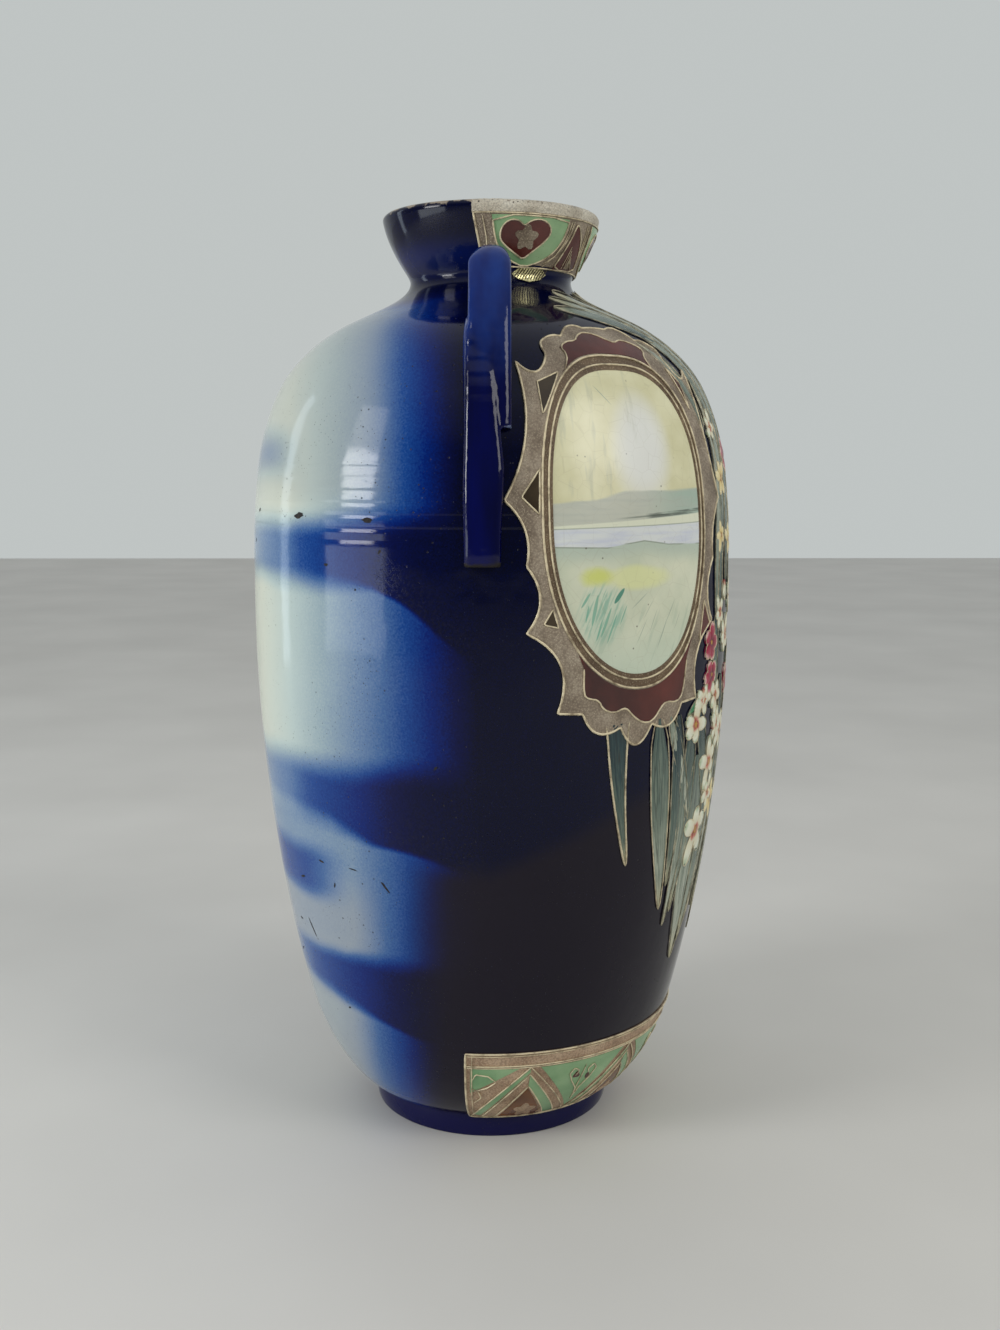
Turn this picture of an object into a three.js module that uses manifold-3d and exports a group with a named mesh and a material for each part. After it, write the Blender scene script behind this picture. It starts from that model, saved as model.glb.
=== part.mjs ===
// A tall thrown pottery vase with a cup mouth, a foot ring, two side handles and raised slip decoration.
// Millimetres, +Z up. The origin is the centre of the foot's underside. The handles are on X and the
// decorated front faces -Y. The whole vase is one fired piece, open at the mouth and hollow.
import * as THREE from "three";
import { mergeVertices } from "three/addons/utils/BufferGeometryUtils.js";
import Module from "manifold-3d";

const wasm = await Module();
wasm.setup();

// Heights, stacked from the ground up. The long body below the belly takes what the others leave.
const HEIGHT = 610;
const FOOT_HEIGHT = 16;
const FLARE_RISE = 65;
const BELLY_RISE = 153;
const SHOULDER_RISE = 39;
const NECK_RISE = 30;
const MOUTH_RISE = 43;

// Outer radii
const FOOT_RADIUS = 82;
const FLARE_RADIUS = 127;
const BELLY_RADIUS = 161.3;
const SHOULDER_RADIUS = 141;
const CROWN_RADIUS = 98.7;
const NECK_RADIUS = 54;
const MOUTH_RADIUS = 72;

// Wall, floor, foot ring and lip
const WALL = 8;
const FLOOR = 12;
const FOOT_RING_WIDTH = 15;
const FOOT_RECESS = 6;
const FOOT_EDGE = 1.5;
const FOOT_STEP = 2;
const LIP_ROUND = 3.5;

// Raised slip
const RELIEF = 1.2;
const BAND_OVERRUN = 6.5;
const LOWER_BAND_RISE = 61;
const RIM_BAND_DROP = 6;
const RIM_BAND_RISE = 34;

// Painted panel: a tall oval, fuller at its top, in a scalloped frame, once on each side of the front
const PANEL_TURN = 34.4;
const PANEL_HALF_WIDTH = 60;
const PANEL_HALF_HEIGHT = 91;
const PANEL_ABOVE_BELLY = 67;
const PANEL_TOP_FULLNESS = 3.3;
const PANEL_FOOT_FULLNESS = 2.1;

// Handle: a strap looped up from the shoulder and down to the body, and a tapered strap laid over it.
// The loop's heights and reaches are from the steepest ring of the shoulder, which it springs from.
const HANDLE_WIDTH = 24;
const HANDLE_THICKNESS = 11;
const LOOP_TOP_RISE = 34;
const LOOP_TOP_REACH = 7;
const LOOP_BEND_RISE = 23;
const LOOP_BEND_REACH = 29;
const LOOP_TIP_DROP = 70;
const LOOP_TIP_STAND = 3.8;
const STRAP_TOP_DROP = 8;
const STRAP_LENGTH = 141;
const STRAP_STAND = 8;
const STRAP_TOP_STAND = 9;
const STRAP_TOP_WIDTH = 13;
const STRAP_TAPER_END = 0.6;
const STRAP_SHIFT = 4.5;
const STRAP_DEPTH = 14;
const STRAP_TOP_DEPTH = 8;
const EDGE_ROUND = 2.5;

// Facets
const AROUND = 52;
const AROUND_INSIDE = 24;
const STEPS_OUTSIDE = [4, 6, 5, 4, 4, 4];
const STEPS_INSIDE = [2, 3, 3, 2, 2, 3];
const STEPS_LOOP = [5, 4, 6];
const STRAP_ROWS = 8;
const OVAL_STEPS = 28;
const SCALLOP_STEPS = 3;
const PETAL_STEPS = 3;
const LEAF_STEPS = 6;
const LIP_TURNS = [30, 60, 90];

// How far a cutting shape reaches out, as a share of the belly's radius, so that it clears the vase
const CUTTER_REACH = 1.2;

const flareHeight = FOOT_HEIGHT + FLARE_RISE;
const neckHeight = HEIGHT - MOUTH_RISE;
const crownHeight = neckHeight - NECK_RISE;
const shoulderHeight = crownHeight - SHOULDER_RISE;
const bellyHeight = shoulderHeight - BELLY_RISE;
const lipHeight = HEIGHT - LIP_ROUND;
const panelHeight = bellyHeight + PANEL_ABOVE_BELLY;

const degrees = Math.PI / 180;
const point = (x, y) => new THREE.Vector2(x, y);

// A point of the profile, the way the profile climbs through it, and how far it pulls the curve
// before and after it. A climb of 90 degrees is upright, and over 90 leans towards the axis.
const stations = [
  { at: point(FOOT_RADIUS + FOOT_STEP, FOOT_HEIGHT), climb: 22, after: 17 },
  { at: point(FLARE_RADIUS, flareHeight), climb: 74, before: 32, after: 56 },
  { at: point(BELLY_RADIUS, bellyHeight), climb: 90, before: 102, after: 70 },
  { at: point(SHOULDER_RADIUS, shoulderHeight), climb: 118, before: 43, after: 18 },
  { at: point(CROWN_RADIUS, crownHeight), climb: 153, before: 18, after: 22 },
  { at: point(NECK_RADIUS, neckHeight), climb: 90, before: 12, after: 5 },
  { at: point(MOUTH_RADIUS, lipHeight), climb: 78, before: 22 },
];

function pulled(station, reach) {
  const lean = station.climb * degrees;
  return point(station.at.x + reach * Math.cos(lean), station.at.y + reach * Math.sin(lean));
}

// The curve through the stations, as points moved sideways by offset, to the right of the way it runs
function curveThrough(places, stepsOfSpan, offset) {
  const line = [];
  stepsOfSpan.forEach((steps, index) => {
    const [start, end] = places.slice(index, index + 2);
    const span = new THREE.CubicBezierCurve(
      start.at,
      pulled(start, start.after),
      pulled(end, -end.before),
      end.at,
    );
    for (let step = index === 0 ? 0 : 1; step <= steps; step += 1) {
      const place = span.getPoint(step / steps);
      const along = span.getTangent(step / steps);
      line.push(point(place.x + offset * along.y, place.y - offset * along.x));
    }
  });
  return line;
}

// The distance from the axis of a climbing line at height z
function radiusAt(line, z) {
  const found = line.findIndex((place) => place.y >= z);
  const above = found < 0 ? line.length - 1 : Math.max(1, found);
  const low = line[above - 1];
  const high = line[above];
  return THREE.MathUtils.mapLinear(z, low.y, high.y, low.x, high.x);
}

const wallLine = curveThrough(stations, STEPS_OUTSIDE, 0);

// Solids

function solidFrom(geometry) {
  const bare = geometry.clone();
  bare.deleteAttribute("normal");
  bare.deleteAttribute("uv");
  const merged = mergeVertices(bare, 1e-4);
  const corners = merged.index.array;
  const triangles = [];
  for (let i = 0; i < corners.length; i += 3) {
    const [a, b, c] = corners.slice(i, i + 3);
    if (a !== b && b !== c && c !== a) {
      triangles.push(a, b, c);
    }
  }
  const mesh = new wasm.Mesh({
    numProp: 3,
    vertProperties: new Float32Array(merged.attributes.position.array),
    triVerts: new Uint32Array(triangles),
  });
  return new wasm.Manifold(mesh);
}

function geometryFrom(solid) {
  const mesh = solid.getMesh();
  const geometry = new THREE.BufferGeometry();
  geometry.setAttribute("position", new THREE.BufferAttribute(new Float32Array(mesh.vertProperties), 3));
  geometry.setIndex(new THREE.BufferAttribute(new Uint32Array(mesh.triVerts), 1));
  geometry.computeVertexNormals();
  return geometry;
}

function turned(profile, segments) {
  return solidFrom(new THREE.LatheGeometry(profile, segments).rotateX(Math.PI / 2));
}

// The vase without its inside: foot ring, wall and lip, with the wall moved outward by offset
function outside(offset) {
  const ringInside = FOOT_RADIUS - FOOT_RING_WIDTH;
  const foot = [
    point(0, FOOT_RECESS),
    point(ringInside - FOOT_EDGE, FOOT_RECESS),
    point(ringInside, 0),
    point(FOOT_RADIUS - FOOT_EDGE, 0),
    point(FOOT_RADIUS, FOOT_EDGE),
  ];
  const wall = curveThrough(stations, STEPS_OUTSIDE, offset);
  const edge = wall[wall.length - 1];
  const lip = LIP_TURNS.map((turn) => point(
    edge.x - LIP_ROUND * (1 - Math.cos(turn * degrees)),
    lipHeight + LIP_ROUND * Math.sin(turn * degrees),
  ));
  return turned([...foot, ...wall, ...lip, point(0, HEIGHT)], AROUND);
}

// The inside follows the wall, flat at the floor and opened out a little at the lip
function inside() {
  const floorHeight = FOOT_RECESS + FLOOR;
  const line = curveThrough(stations, STEPS_INSIDE, -WALL);
  const wall = line.filter((place) => place.y > floorHeight + WALL / 2);
  const floorRadius = wall[0].x - WALL;
  const mouth = wall[wall.length - 1].x;
  const above = HEIGHT + LIP_ROUND;
  return turned([
    point(0, floorHeight),
    point(floorRadius, floorHeight),
    ...wall,
    point(mouth + LIP_ROUND, above),
    point(0, above),
  ], AROUND_INSIDE);
}

// A direction round the vase: 0 degrees is the handle on -X and 90 degrees is the middle of the front
const FRONT = 90;
const mirrored = (turn) => 2 * FRONT - turn;
const aheadX = (turn) => -Math.cos(turn * degrees);
const aheadY = (turn) => -Math.sin(turn * degrees);

// An outline drawn on the wall, with x as the distance round the belly from turn and y as the
// height, driven through the wall
function throughWall(outline, turn) {
  const inner = NECK_RADIUS;
  const depth = CUTTER_REACH * BELLY_RADIUS - inner;
  const geometry = new THREE.ExtrudeGeometry(outline, { depth, bevelEnabled: false });
  const places = geometry.attributes.position;
  for (let i = 0; i < places.count; i += 1) {
    const radius = inner + places.getZ(i);
    const angle = turn + places.getX(i) / BELLY_RADIUS / degrees;
    places.setXYZ(i, radius * aheadX(angle), radius * aheadY(angle), places.getY(i));
  }
  return solidFrom(geometry);
}

// Painted panel and its scalloped frame

function ovalPoints(halfWidth, halfHeight, count) {
  return Array.from({ length: count }, (_, index) => {
    const turn = (index / count) * 2 * Math.PI;
    const across = Math.cos(turn);
    const up = Math.sin(turn);
    const power = 2 / (up > 0 ? PANEL_TOP_FULLNESS : PANEL_FOOT_FULLNESS);
    return point(
      halfWidth * Math.sign(across) * Math.abs(across) ** power,
      panelHeight + halfHeight * Math.sign(up) * Math.abs(up) ** power,
    );
  });
}

// Points of the frame's edge, as distances beyond the oval's own half width and half height, from
// the top round to the bottom. The line to each one bows out by bow, or in where bow is negative.
const frameCorners = [
  { across: -47, up: 28, bow: 0 },
  { across: -20, up: 21, bow: 5 },
  { across: -3, up: 7, bow: 9 },
  { across: 19, up: 2, bow: -7 },
  { across: 28, up: -78, bow: -9 },
  { across: 16, up: -67, bow: -5, below: true },
  { across: 15, up: -28, bow: -8, below: true },
  { across: -4, up: 20, bow: -12, below: true },
  { across: -19, up: 21, bow: 0, below: true },
  { across: -45, up: 31, bow: 8, below: true },
];
const FRAME_FOOT_LOBE = 12;
const FRAME_TOP_LOBE = 5;

function frameCorner({ across, up, below }) {
  const rise = PANEL_HALF_HEIGHT + up;
  return point(-PANEL_HALF_WIDTH - across, below ? -rise : rise);
}

function bowed(start, end, bow) {
  const middle = start.clone().add(end).multiplyScalar(0.5);
  const side = point(end.y - start.y, start.x - end.x).normalize().multiplyScalar(-2 * bow);
  const arc = new THREE.QuadraticBezierCurve(start, middle.sub(side), end);
  return arc.getPoints(SCALLOP_STEPS).slice(1);
}

function frameOutline() {
  const left = [frameCorner(frameCorners[0])];
  for (const corner of frameCorners.slice(1)) {
    left.push(...bowed(left[left.length - 1], frameCorner(corner), -corner.bow));
  }
  const last = left[left.length - 1];
  const footLobe = bowed(last, point(-last.x, last.y), -FRAME_FOOT_LOBE).slice(0, -1);
  const right = left.map((place) => point(-place.x, place.y)).reverse();
  const topLobe = bowed(right[right.length - 1], left[0], -FRAME_TOP_LOBE).slice(0, -1);
  return [...left, ...footLobe, ...right, ...topLobe].map((place) => point(place.x, place.y + panelHeight));
}

function framePrism(turn) {
  const outline = new THREE.Shape(frameOutline());
  outline.holes.push(new THREE.Path(ovalPoints(PANEL_HALF_WIDTH, PANEL_HALF_HEIGHT, OVAL_STEPS)));
  return throughWall(outline, turn);
}

// Blossoms and sword leaves in thick slip between the two panels

const blossoms = [
  { turn: 59, above: -131, radius: 19 },
  { turn: 71, above: -88, radius: 17 },
  { turn: 64, above: -20, radius: 18 },
  { turn: FRONT, above: -8, radius: 20 },
];
const PETALS = 5;
const PETAL_DEPTH = 0.24;

function blossomPrism(turn, { above, radius }) {
  const steps = PETALS * PETAL_STEPS;
  const outline = Array.from({ length: steps }, (_, index) => {
    const angle = (index / steps) * 2 * Math.PI;
    const reach = radius * (1 - PETAL_DEPTH + PETAL_DEPTH * Math.cos(PETALS * angle));
    return point(-reach * Math.sin(angle), bellyHeight + above + reach * Math.cos(angle));
  });
  return throughWall(new THREE.Shape(outline), turn);
}

const LEAF_TAPER = 2.4;
const leaves = [
  { turn: 29, top: -60, length: 84, width: 17, lean: 3 },
  { turn: 45, top: -64, length: 160, width: 22, lean: 16 },
];

function leafPrism(turn, { top, length, width, lean }, side) {
  const edge = (hand) => Array.from({ length: LEAF_STEPS + 1 }, (_, index) => {
    const down = index / LEAF_STEPS;
    const half = (width / 2) * (1 - down ** LEAF_TAPER);
    return point(side * (lean * down + hand * half), bellyHeight + top - length * down);
  });
  const outline = [...edge(-1), ...edge(1).slice(0, -1).reverse()];
  return throughWall(new THREE.Shape(side > 0 ? outline : outline.reverse()), turn);
}

function reliefPrisms() {
  const prisms = [framePrism(PANEL_TURN), framePrism(mirrored(PANEL_TURN))];
  for (const blossom of blossoms) {
    prisms.push(blossomPrism(blossom.turn, blossom));
    if (blossom.turn !== FRONT) {
      prisms.push(blossomPrism(mirrored(blossom.turn), blossom));
    }
  }
  for (const leaf of leaves) {
    prisms.push(leafPrism(leaf.turn, leaf, 1), leafPrism(mirrored(leaf.turn), leaf, -1));
  }
  return prisms;
}

// Everything behind the front's two ends, where the bands stop
function behindBands() {
  const reach = 2 * CUTTER_REACH * BELLY_RADIUS;
  const turns = [-BAND_OVERRUN, -60, -120, mirrored(-BAND_OVERRUN)];
  const outline = [point(0, 0), ...turns.map((turn) => point(reach * aheadX(turn), reach * aheadY(turn)))];
  const wedge = new THREE.Shape(outline.reverse());
  return solidFrom(new THREE.ExtrudeGeometry(wedge, { depth: HEIGHT, bevelEnabled: false }));
}

// A slab as wide as the vase between two heights
function between(low, high) {
  const reach = CUTTER_REACH * BELLY_RADIUS;
  return turned([point(0, low), point(reach, low), point(reach, high), point(0, high)], AROUND);
}

function bandPrisms() {
  const lower = between(FOOT_HEIGHT, FOOT_HEIGHT + LOWER_BAND_RISE);
  const rim = between(HEIGHT - RIM_BAND_DROP - RIM_BAND_RISE, HEIGHT - RIM_BAND_DROP);
  return lower.add(rim).subtract(behindBands());
}

// Handles

function loopSolid() {
  const rootHeight = crownHeight - WALL / 2;
  const tipHeight = crownHeight - LOOP_TIP_DROP;
  const top = point(CROWN_RADIUS + LOOP_TOP_REACH, crownHeight + LOOP_TOP_RISE);
  const bend = point(CROWN_RADIUS + LOOP_BEND_REACH, crownHeight + LOOP_BEND_RISE);
  const places = [
    { at: point(CROWN_RADIUS - WALL, rootHeight), climb: 90, after: 20 },
    { at: top, climb: 0, before: 12, after: 9 },
    { at: bend, climb: -53, before: 10, after: 20 },
    { at: point(radiusAt(wallLine, tipHeight) + LOOP_TIP_STAND, tipHeight), climb: -86, before: 34 },
  ];
  const half = HANDLE_THICKNESS / 2;
  const under = curveThrough(places, STEPS_LOOP, half);
  const over = curveThrough(places, STEPS_LOOP, -half).reverse();
  const geometry = new THREE.ExtrudeGeometry(new THREE.Shape([...under, ...over]), {
    depth: HANDLE_WIDTH - 2 * EDGE_ROUND,
    bevelThickness: EDGE_ROUND,
    bevelSize: EDGE_ROUND,
    bevelOffset: -EDGE_ROUND,
    bevelSegments: 1,
  });
  geometry.translate(0, 0, EDGE_ROUND - HANDLE_WIDTH / 2);
  return geometry.rotateX(Math.PI / 2);
}

// The strap laid over the loop: drawn flat, one unit deep, then set to the lean of the wall and loop
function strapSolid() {
  const top = crownHeight - STRAP_TOP_DROP;
  const foot = top - STRAP_LENGTH;
  const half = HANDLE_WIDTH / 2;
  const edge = (reachAt) => Array.from({ length: STRAP_ROWS + 1 }, (_, row) => {
    const down = row / STRAP_ROWS;
    return point(reachAt(down), top - STRAP_LENGTH * down);
  });
  const cutAway = (down) => (HANDLE_WIDTH - STRAP_TOP_WIDTH) * Math.max(0, 1 - down / STRAP_TAPER_END);
  const left = edge(() => -half);
  const right = edge((down) => half - cutAway(down)).reverse();
  const bevel = EDGE_ROUND / STRAP_DEPTH;
  const geometry = new THREE.ExtrudeGeometry(new THREE.Shape([...left, ...right]), {
    depth: 1 - 2 * bevel,
    bevelThickness: bevel,
    bevelSize: EDGE_ROUND,
    bevelOffset: -EDGE_ROUND,
    bevelSegments: 1,
  });
  const face = curveThrough([
    { at: point(radiusAt(wallLine, foot) + STRAP_STAND, foot), climb: 90, after: 60 },
    { at: point(SHOULDER_RADIUS + STRAP_TOP_STAND, top), climb: 108, before: 41 },
  ], [STRAP_ROWS], 0);
  const places = geometry.attributes.position;
  for (let i = 0; i < places.count; i += 1) {
    const z = places.getY(i);
    const up = (z - foot) / STRAP_LENGTH;
    const depth = THREE.MathUtils.lerp(STRAP_DEPTH, STRAP_TOP_DEPTH, up ** 2);
    const sunk = depth * (1 - bevel - places.getZ(i));
    places.setXYZ(i, radiusAt(face, z) - sunk, places.getX(i) - STRAP_SHIFT, z);
  }
  return geometry;
}

function handle(turn) {
  return solidFrom(loopSolid().rotateZ(turn)).add(solidFrom(strapSolid().rotateZ(turn)));
}

function vase() {
  const shell = outside(RELIEF);
  let body = outside(0);
  for (const prism of [...reliefPrisms(), bandPrisms()]) {
    body = body.add(shell.intersect(prism));
  }
  return body.add(handle(0)).add(handle(Math.PI)).subtract(inside());
}

const glaze = new THREE.MeshStandardMaterial({ color: 0x0f2a7a, roughness: 0.15, metalness: 0 });
const body = new THREE.Mesh(geometryFrom(vase()), glaze);
body.name = "vase";

const group = new THREE.Group();
group.add(body);
export default group;
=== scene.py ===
import math
import random

import bmesh
import bpy
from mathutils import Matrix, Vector, noise


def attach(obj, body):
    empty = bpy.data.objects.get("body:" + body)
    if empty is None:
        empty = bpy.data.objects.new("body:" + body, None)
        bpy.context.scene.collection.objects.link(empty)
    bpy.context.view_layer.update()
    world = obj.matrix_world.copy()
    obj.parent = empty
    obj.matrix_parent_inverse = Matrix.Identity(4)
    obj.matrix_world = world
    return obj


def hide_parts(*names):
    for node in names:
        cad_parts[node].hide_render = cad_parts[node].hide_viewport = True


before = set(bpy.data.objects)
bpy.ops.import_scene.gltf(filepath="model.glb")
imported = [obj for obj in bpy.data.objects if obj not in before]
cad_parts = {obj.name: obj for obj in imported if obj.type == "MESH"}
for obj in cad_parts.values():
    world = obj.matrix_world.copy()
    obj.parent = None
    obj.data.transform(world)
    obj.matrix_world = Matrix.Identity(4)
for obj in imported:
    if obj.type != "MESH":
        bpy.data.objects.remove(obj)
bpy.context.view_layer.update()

MM = 0.001

# Sizes of the pot in millimetres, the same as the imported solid's
HEIGHT = 610
FOOT_RADIUS = 82
FOOT_RING_WIDTH = 15
FOOT_RECESS = 6
FOOT_EDGE = 1.5
FLOOR_HEIGHT = 18
WALL = 8
LIP_ROUND = 3.5
LIP_HEIGHT = HEIGHT - LIP_ROUND
BELLY_RADIUS = 161.3
CROWN_RADIUS = 98.7
CROWN_HEIGHT = 537
MOUTH_RADIUS = 72

# The wall from foot to lip: radius, height, climb in degrees, reach before and after
WALL_STATIONS = [
    (84, 16, 22, 0, 17),
    (127, 81, 74, 32, 56),
    (BELLY_RADIUS, 345, 90, 102, 70),
    (141, 498, 118, 43, 18),
    (CROWN_RADIUS, CROWN_HEIGHT, 153, 18, 22),
    (54, 567, 90, 12, 5),
    (MOUTH_RADIUS, LIP_HEIGHT, 78, 22, 0),
]

# Decoration is drawn flat, x round the belly from the left handle and y up, then laid on the wall
FRONT = 90
DEGREE = BELLY_RADIUS * math.pi / 180


# The wall

def curve_through(stations, steps):
    """Points of a smooth curve through the stations, steps to each span."""
    points = []
    for first, last in zip(stations, stations[1:]):
        start = Vector(first[:2])
        end = Vector(last[:2])
        ahead = math.radians(first[2])
        arrive = math.radians(last[2])
        leave = start + first[4] * Vector((math.cos(ahead), math.sin(ahead)))
        reach = end - last[3] * Vector((math.cos(arrive), math.sin(arrive)))
        for step in range(steps):
            t = step / steps
            u = 1 - t
            points.append(u**3 * start + 3 * u * u * t * leave + 3 * u * t * t * reach + t**3 * end)
    points.append(Vector(stations[-1][:2]))
    return points


WALL_LINE = curve_through(WALL_STATIONS, 40)


def wall_at(height):
    """Radius and outward slope (radial, upward) of the wall at a height."""
    height = min(max(height, WALL_LINE[0].y), WALL_LINE[-1].y)
    low, high = 0, len(WALL_LINE) - 1
    while high - low > 1:
        middle = (low + high) // 2
        if WALL_LINE[middle].y <= height:
            low = middle
        else:
            high = middle
    before, after = WALL_LINE[low], WALL_LINE[high]
    share = (height - before.y) / (after.y - before.y)
    across = (after - before).normalized()
    return before.x + share * (after.x - before.x), Vector((across.y, -across.x))


def on_wall(x, y, lift):
    """The place in metres of a point drawn flat at x, y and raised by lift."""
    turn = math.radians(x / DEGREE)
    radius, outward = wall_at(y)
    radius += lift * outward.x
    height = y + lift * outward.y
    return Vector((-radius * math.cos(turn), -radius * math.sin(turn), height)) * MM


# Modelling helpers

def clear_selection():
    """Leave nothing selected and no mode open."""
    bpy.ops.object.select_all(action="DESELECT")


def newest(name):
    piece = bpy.context.active_object
    piece.name = name
    piece.data.name = name
    return piece


def pick(piece):
    clear_selection()
    piece.select_set(True)
    bpy.context.view_layer.objects.active = piece


def edited(piece, *steps):
    """Run edit mode steps on the whole piece."""
    pick(piece)
    bpy.ops.object.mode_set(mode="EDIT")
    bpy.ops.mesh.select_all(action="SELECT")
    for step in steps:
        step()
    bpy.ops.object.mode_set(mode="OBJECT")


def joined(name, pieces):
    """One object of several, called name."""
    clear_selection()
    for piece in pieces:
        piece.select_set(True)
    bpy.context.view_layer.objects.active = pieces[0]
    if len(pieces) > 1:
        bpy.ops.object.join()
    return newest(name)


def closed_ring(points):
    """A loop of edges through flat points."""
    clear_selection()
    bpy.ops.mesh.primitive_circle_add(vertices=len(points), radius=1, fill_type="NOTHING")
    ring = newest("ring")
    for vertex, point in zip(ring.data.vertices, points):
        vertex.co = (point[0], point[1], 0)
    return ring


def thick(depth):
    """The edit step that draws a flat sheet down into a slab."""
    move = {"value": (0, 0, -depth)}
    return lambda: bpy.ops.mesh.extrude_region_move(TRANSFORM_OT_translate=move)


def outward_normals():
    bpy.ops.mesh.normals_make_consistent(inside=False)


def cut_rows(piece, cell):
    """Cut a flat sheet along rows and columns a cell apart, so that it can follow the wall."""
    xs = [vertex.co.x for vertex in piece.data.vertices]
    ys = [vertex.co.y for vertex in piece.data.vertices]
    for low, high, normal in ((min(xs), max(xs), (1, 0, 0)), (min(ys), max(ys), (0, 1, 0))):
        count = int((high - low) / cell)
        for index in range(1, count + 1):
            place = low + (high - low) * index / (count + 1)
            middle = (place * normal[0], place * normal[1], 0)
            bpy.ops.mesh.select_all(action="SELECT")
            bpy.ops.mesh.bisect(plane_co=middle, plane_no=normal, threshold=0.001)
    bpy.ops.mesh.select_all(action="SELECT")


def slab(name, outlines, cell, depth):
    """A flat slab inside the outlines, its top at 0, cut into cells."""
    piece = joined(name, [closed_ring(outline) for outline in outlines])
    edited(piece, lambda: bpy.ops.mesh.fill(use_beauty=True))
    top = Vector((0, 0, 1))
    if sum(face.normal.dot(top) for face in piece.data.polygons) < 0:
        edited(piece, bpy.ops.mesh.flip_normals)
    edited(piece, lambda: cut_rows(piece, cell), thick(depth), outward_normals)
    return piece


def laid(piece, lift, shaped=None):
    """Lay a flat piece on the wall, keeping its drawing as an attribute for its finish."""
    drawing = piece.data.attributes.new("drawing", "FLOAT_VECTOR", "POINT")
    for index, vertex in enumerate(piece.data.vertices):
        flat = vertex.co.copy()
        drawing.data[index].vector = flat * MM
        raised = lift + flat.z
        if shaped and flat.z > -0.001:
            raised += shaped(flat)
        vertex.co = on_wall(flat.x, flat.y, raised)
    return piece


def mirrored(piece, name):
    """A copy of a piece on the other side of the front."""
    pick(piece)
    bpy.ops.object.duplicate()
    copy = newest(name)
    for vertex in copy.data.vertices:
        vertex.co.x = -vertex.co.x
    edited(copy, bpy.ops.mesh.flip_normals)
    return copy


def smooth(piece, angle=40):
    pick(piece)
    bpy.ops.object.shade_smooth_by_angle(angle=math.radians(angle))
    return piece


def finished(piece, finish):
    """Give a piece its finish and its place in the frame."""
    piece.data.materials.clear()
    piece.data.materials.append(finish)
    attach(piece, "root")
    return piece


def in_pair(name, outlines, cell, depth, lift, finish, shaped=None):
    """A slab laid on the left half of the front, and turned over on the right."""
    piece = laid(slab(name + "_left", outlines, cell, depth), lift, shaped)
    finished(smooth(piece), finish)
    finished(smooth(mirrored(piece, name + "_right")), finish)


def lofted(name, rings):
    """A closed form through rings of equal count, extruded from the first to the last."""
    clear_selection()
    bpy.ops.mesh.primitive_circle_add(vertices=len(rings[0]), radius=1, fill_type="NGON")
    piece = newest(name)
    for vertex, place in zip(piece.data.vertices, rings[0]):
        vertex.co = place
    bpy.ops.object.mode_set(mode="EDIT")
    bpy.ops.mesh.select_all(action="SELECT")
    for before, ring in zip(rings, rings[1:]):
        bpy.ops.mesh.extrude_region_move()
        mesh = bmesh.from_edit_mesh(piece.data)
        for vertex in [each for each in mesh.verts if each.select]:
            nearest = min(range(len(ring)), key=lambda index: (before[index] - vertex.co).length)
            vertex.co = ring[nearest]
        bmesh.update_edit_mesh(piece.data)
    bpy.ops.mesh.select_all(action="SELECT")
    outward_normals()
    bpy.ops.object.mode_set(mode="OBJECT")
    return piece


def spun(name, line, steps, angle=2 * math.pi):
    """Extrude a line of (radius, height) from point to point and spin it round the axis."""
    clear_selection()
    bpy.ops.mesh.primitive_plane_add(size=1)
    piece = newest(name)
    bpy.ops.object.mode_set(mode="EDIT")
    bpy.ops.mesh.select_all(action="SELECT")
    bpy.ops.mesh.merge(type="CENTER")
    start = (line[0][0] * MM, 0, line[0][1] * MM)
    bpy.ops.transform.translate(value=start)
    for before, after in zip(line, line[1:]):
        step = ((after[0] - before[0]) * MM, 0, (after[1] - before[1]) * MM)
        bpy.ops.mesh.extrude_region_move(TRANSFORM_OT_translate={"value": step})
    bpy.ops.mesh.select_all(action="SELECT")
    bpy.ops.mesh.spin(steps=steps, angle=angle, center=(0, 0, 0), axis=(0, 0, 1))
    bpy.ops.mesh.select_all(action="SELECT")
    bpy.ops.mesh.remove_doubles(threshold=0.00001)
    outward_normals()
    bpy.ops.object.mode_set(mode="OBJECT")
    return piece


# Shader arithmetic

class Value:
    """A shader output that takes part in ordinary sums."""

    def __init__(self, finish, output):
        self.finish = finish
        self.output = output

    def __add__(self, other):
        return self.finish.sums("ADD", self, other)

    def __radd__(self, other):
        return self.finish.sums("ADD", other, self)

    def __sub__(self, other):
        return self.finish.sums("SUBTRACT", self, other)

    def __rsub__(self, other):
        return self.finish.sums("SUBTRACT", other, self)

    def __mul__(self, other):
        return self.finish.sums("MULTIPLY", self, other)

    def __truediv__(self, other):
        return self.finish.sums("DIVIDE", self, other)

    def __pow__(self, other):
        return self.finish.sums("POWER", self, other)


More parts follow.
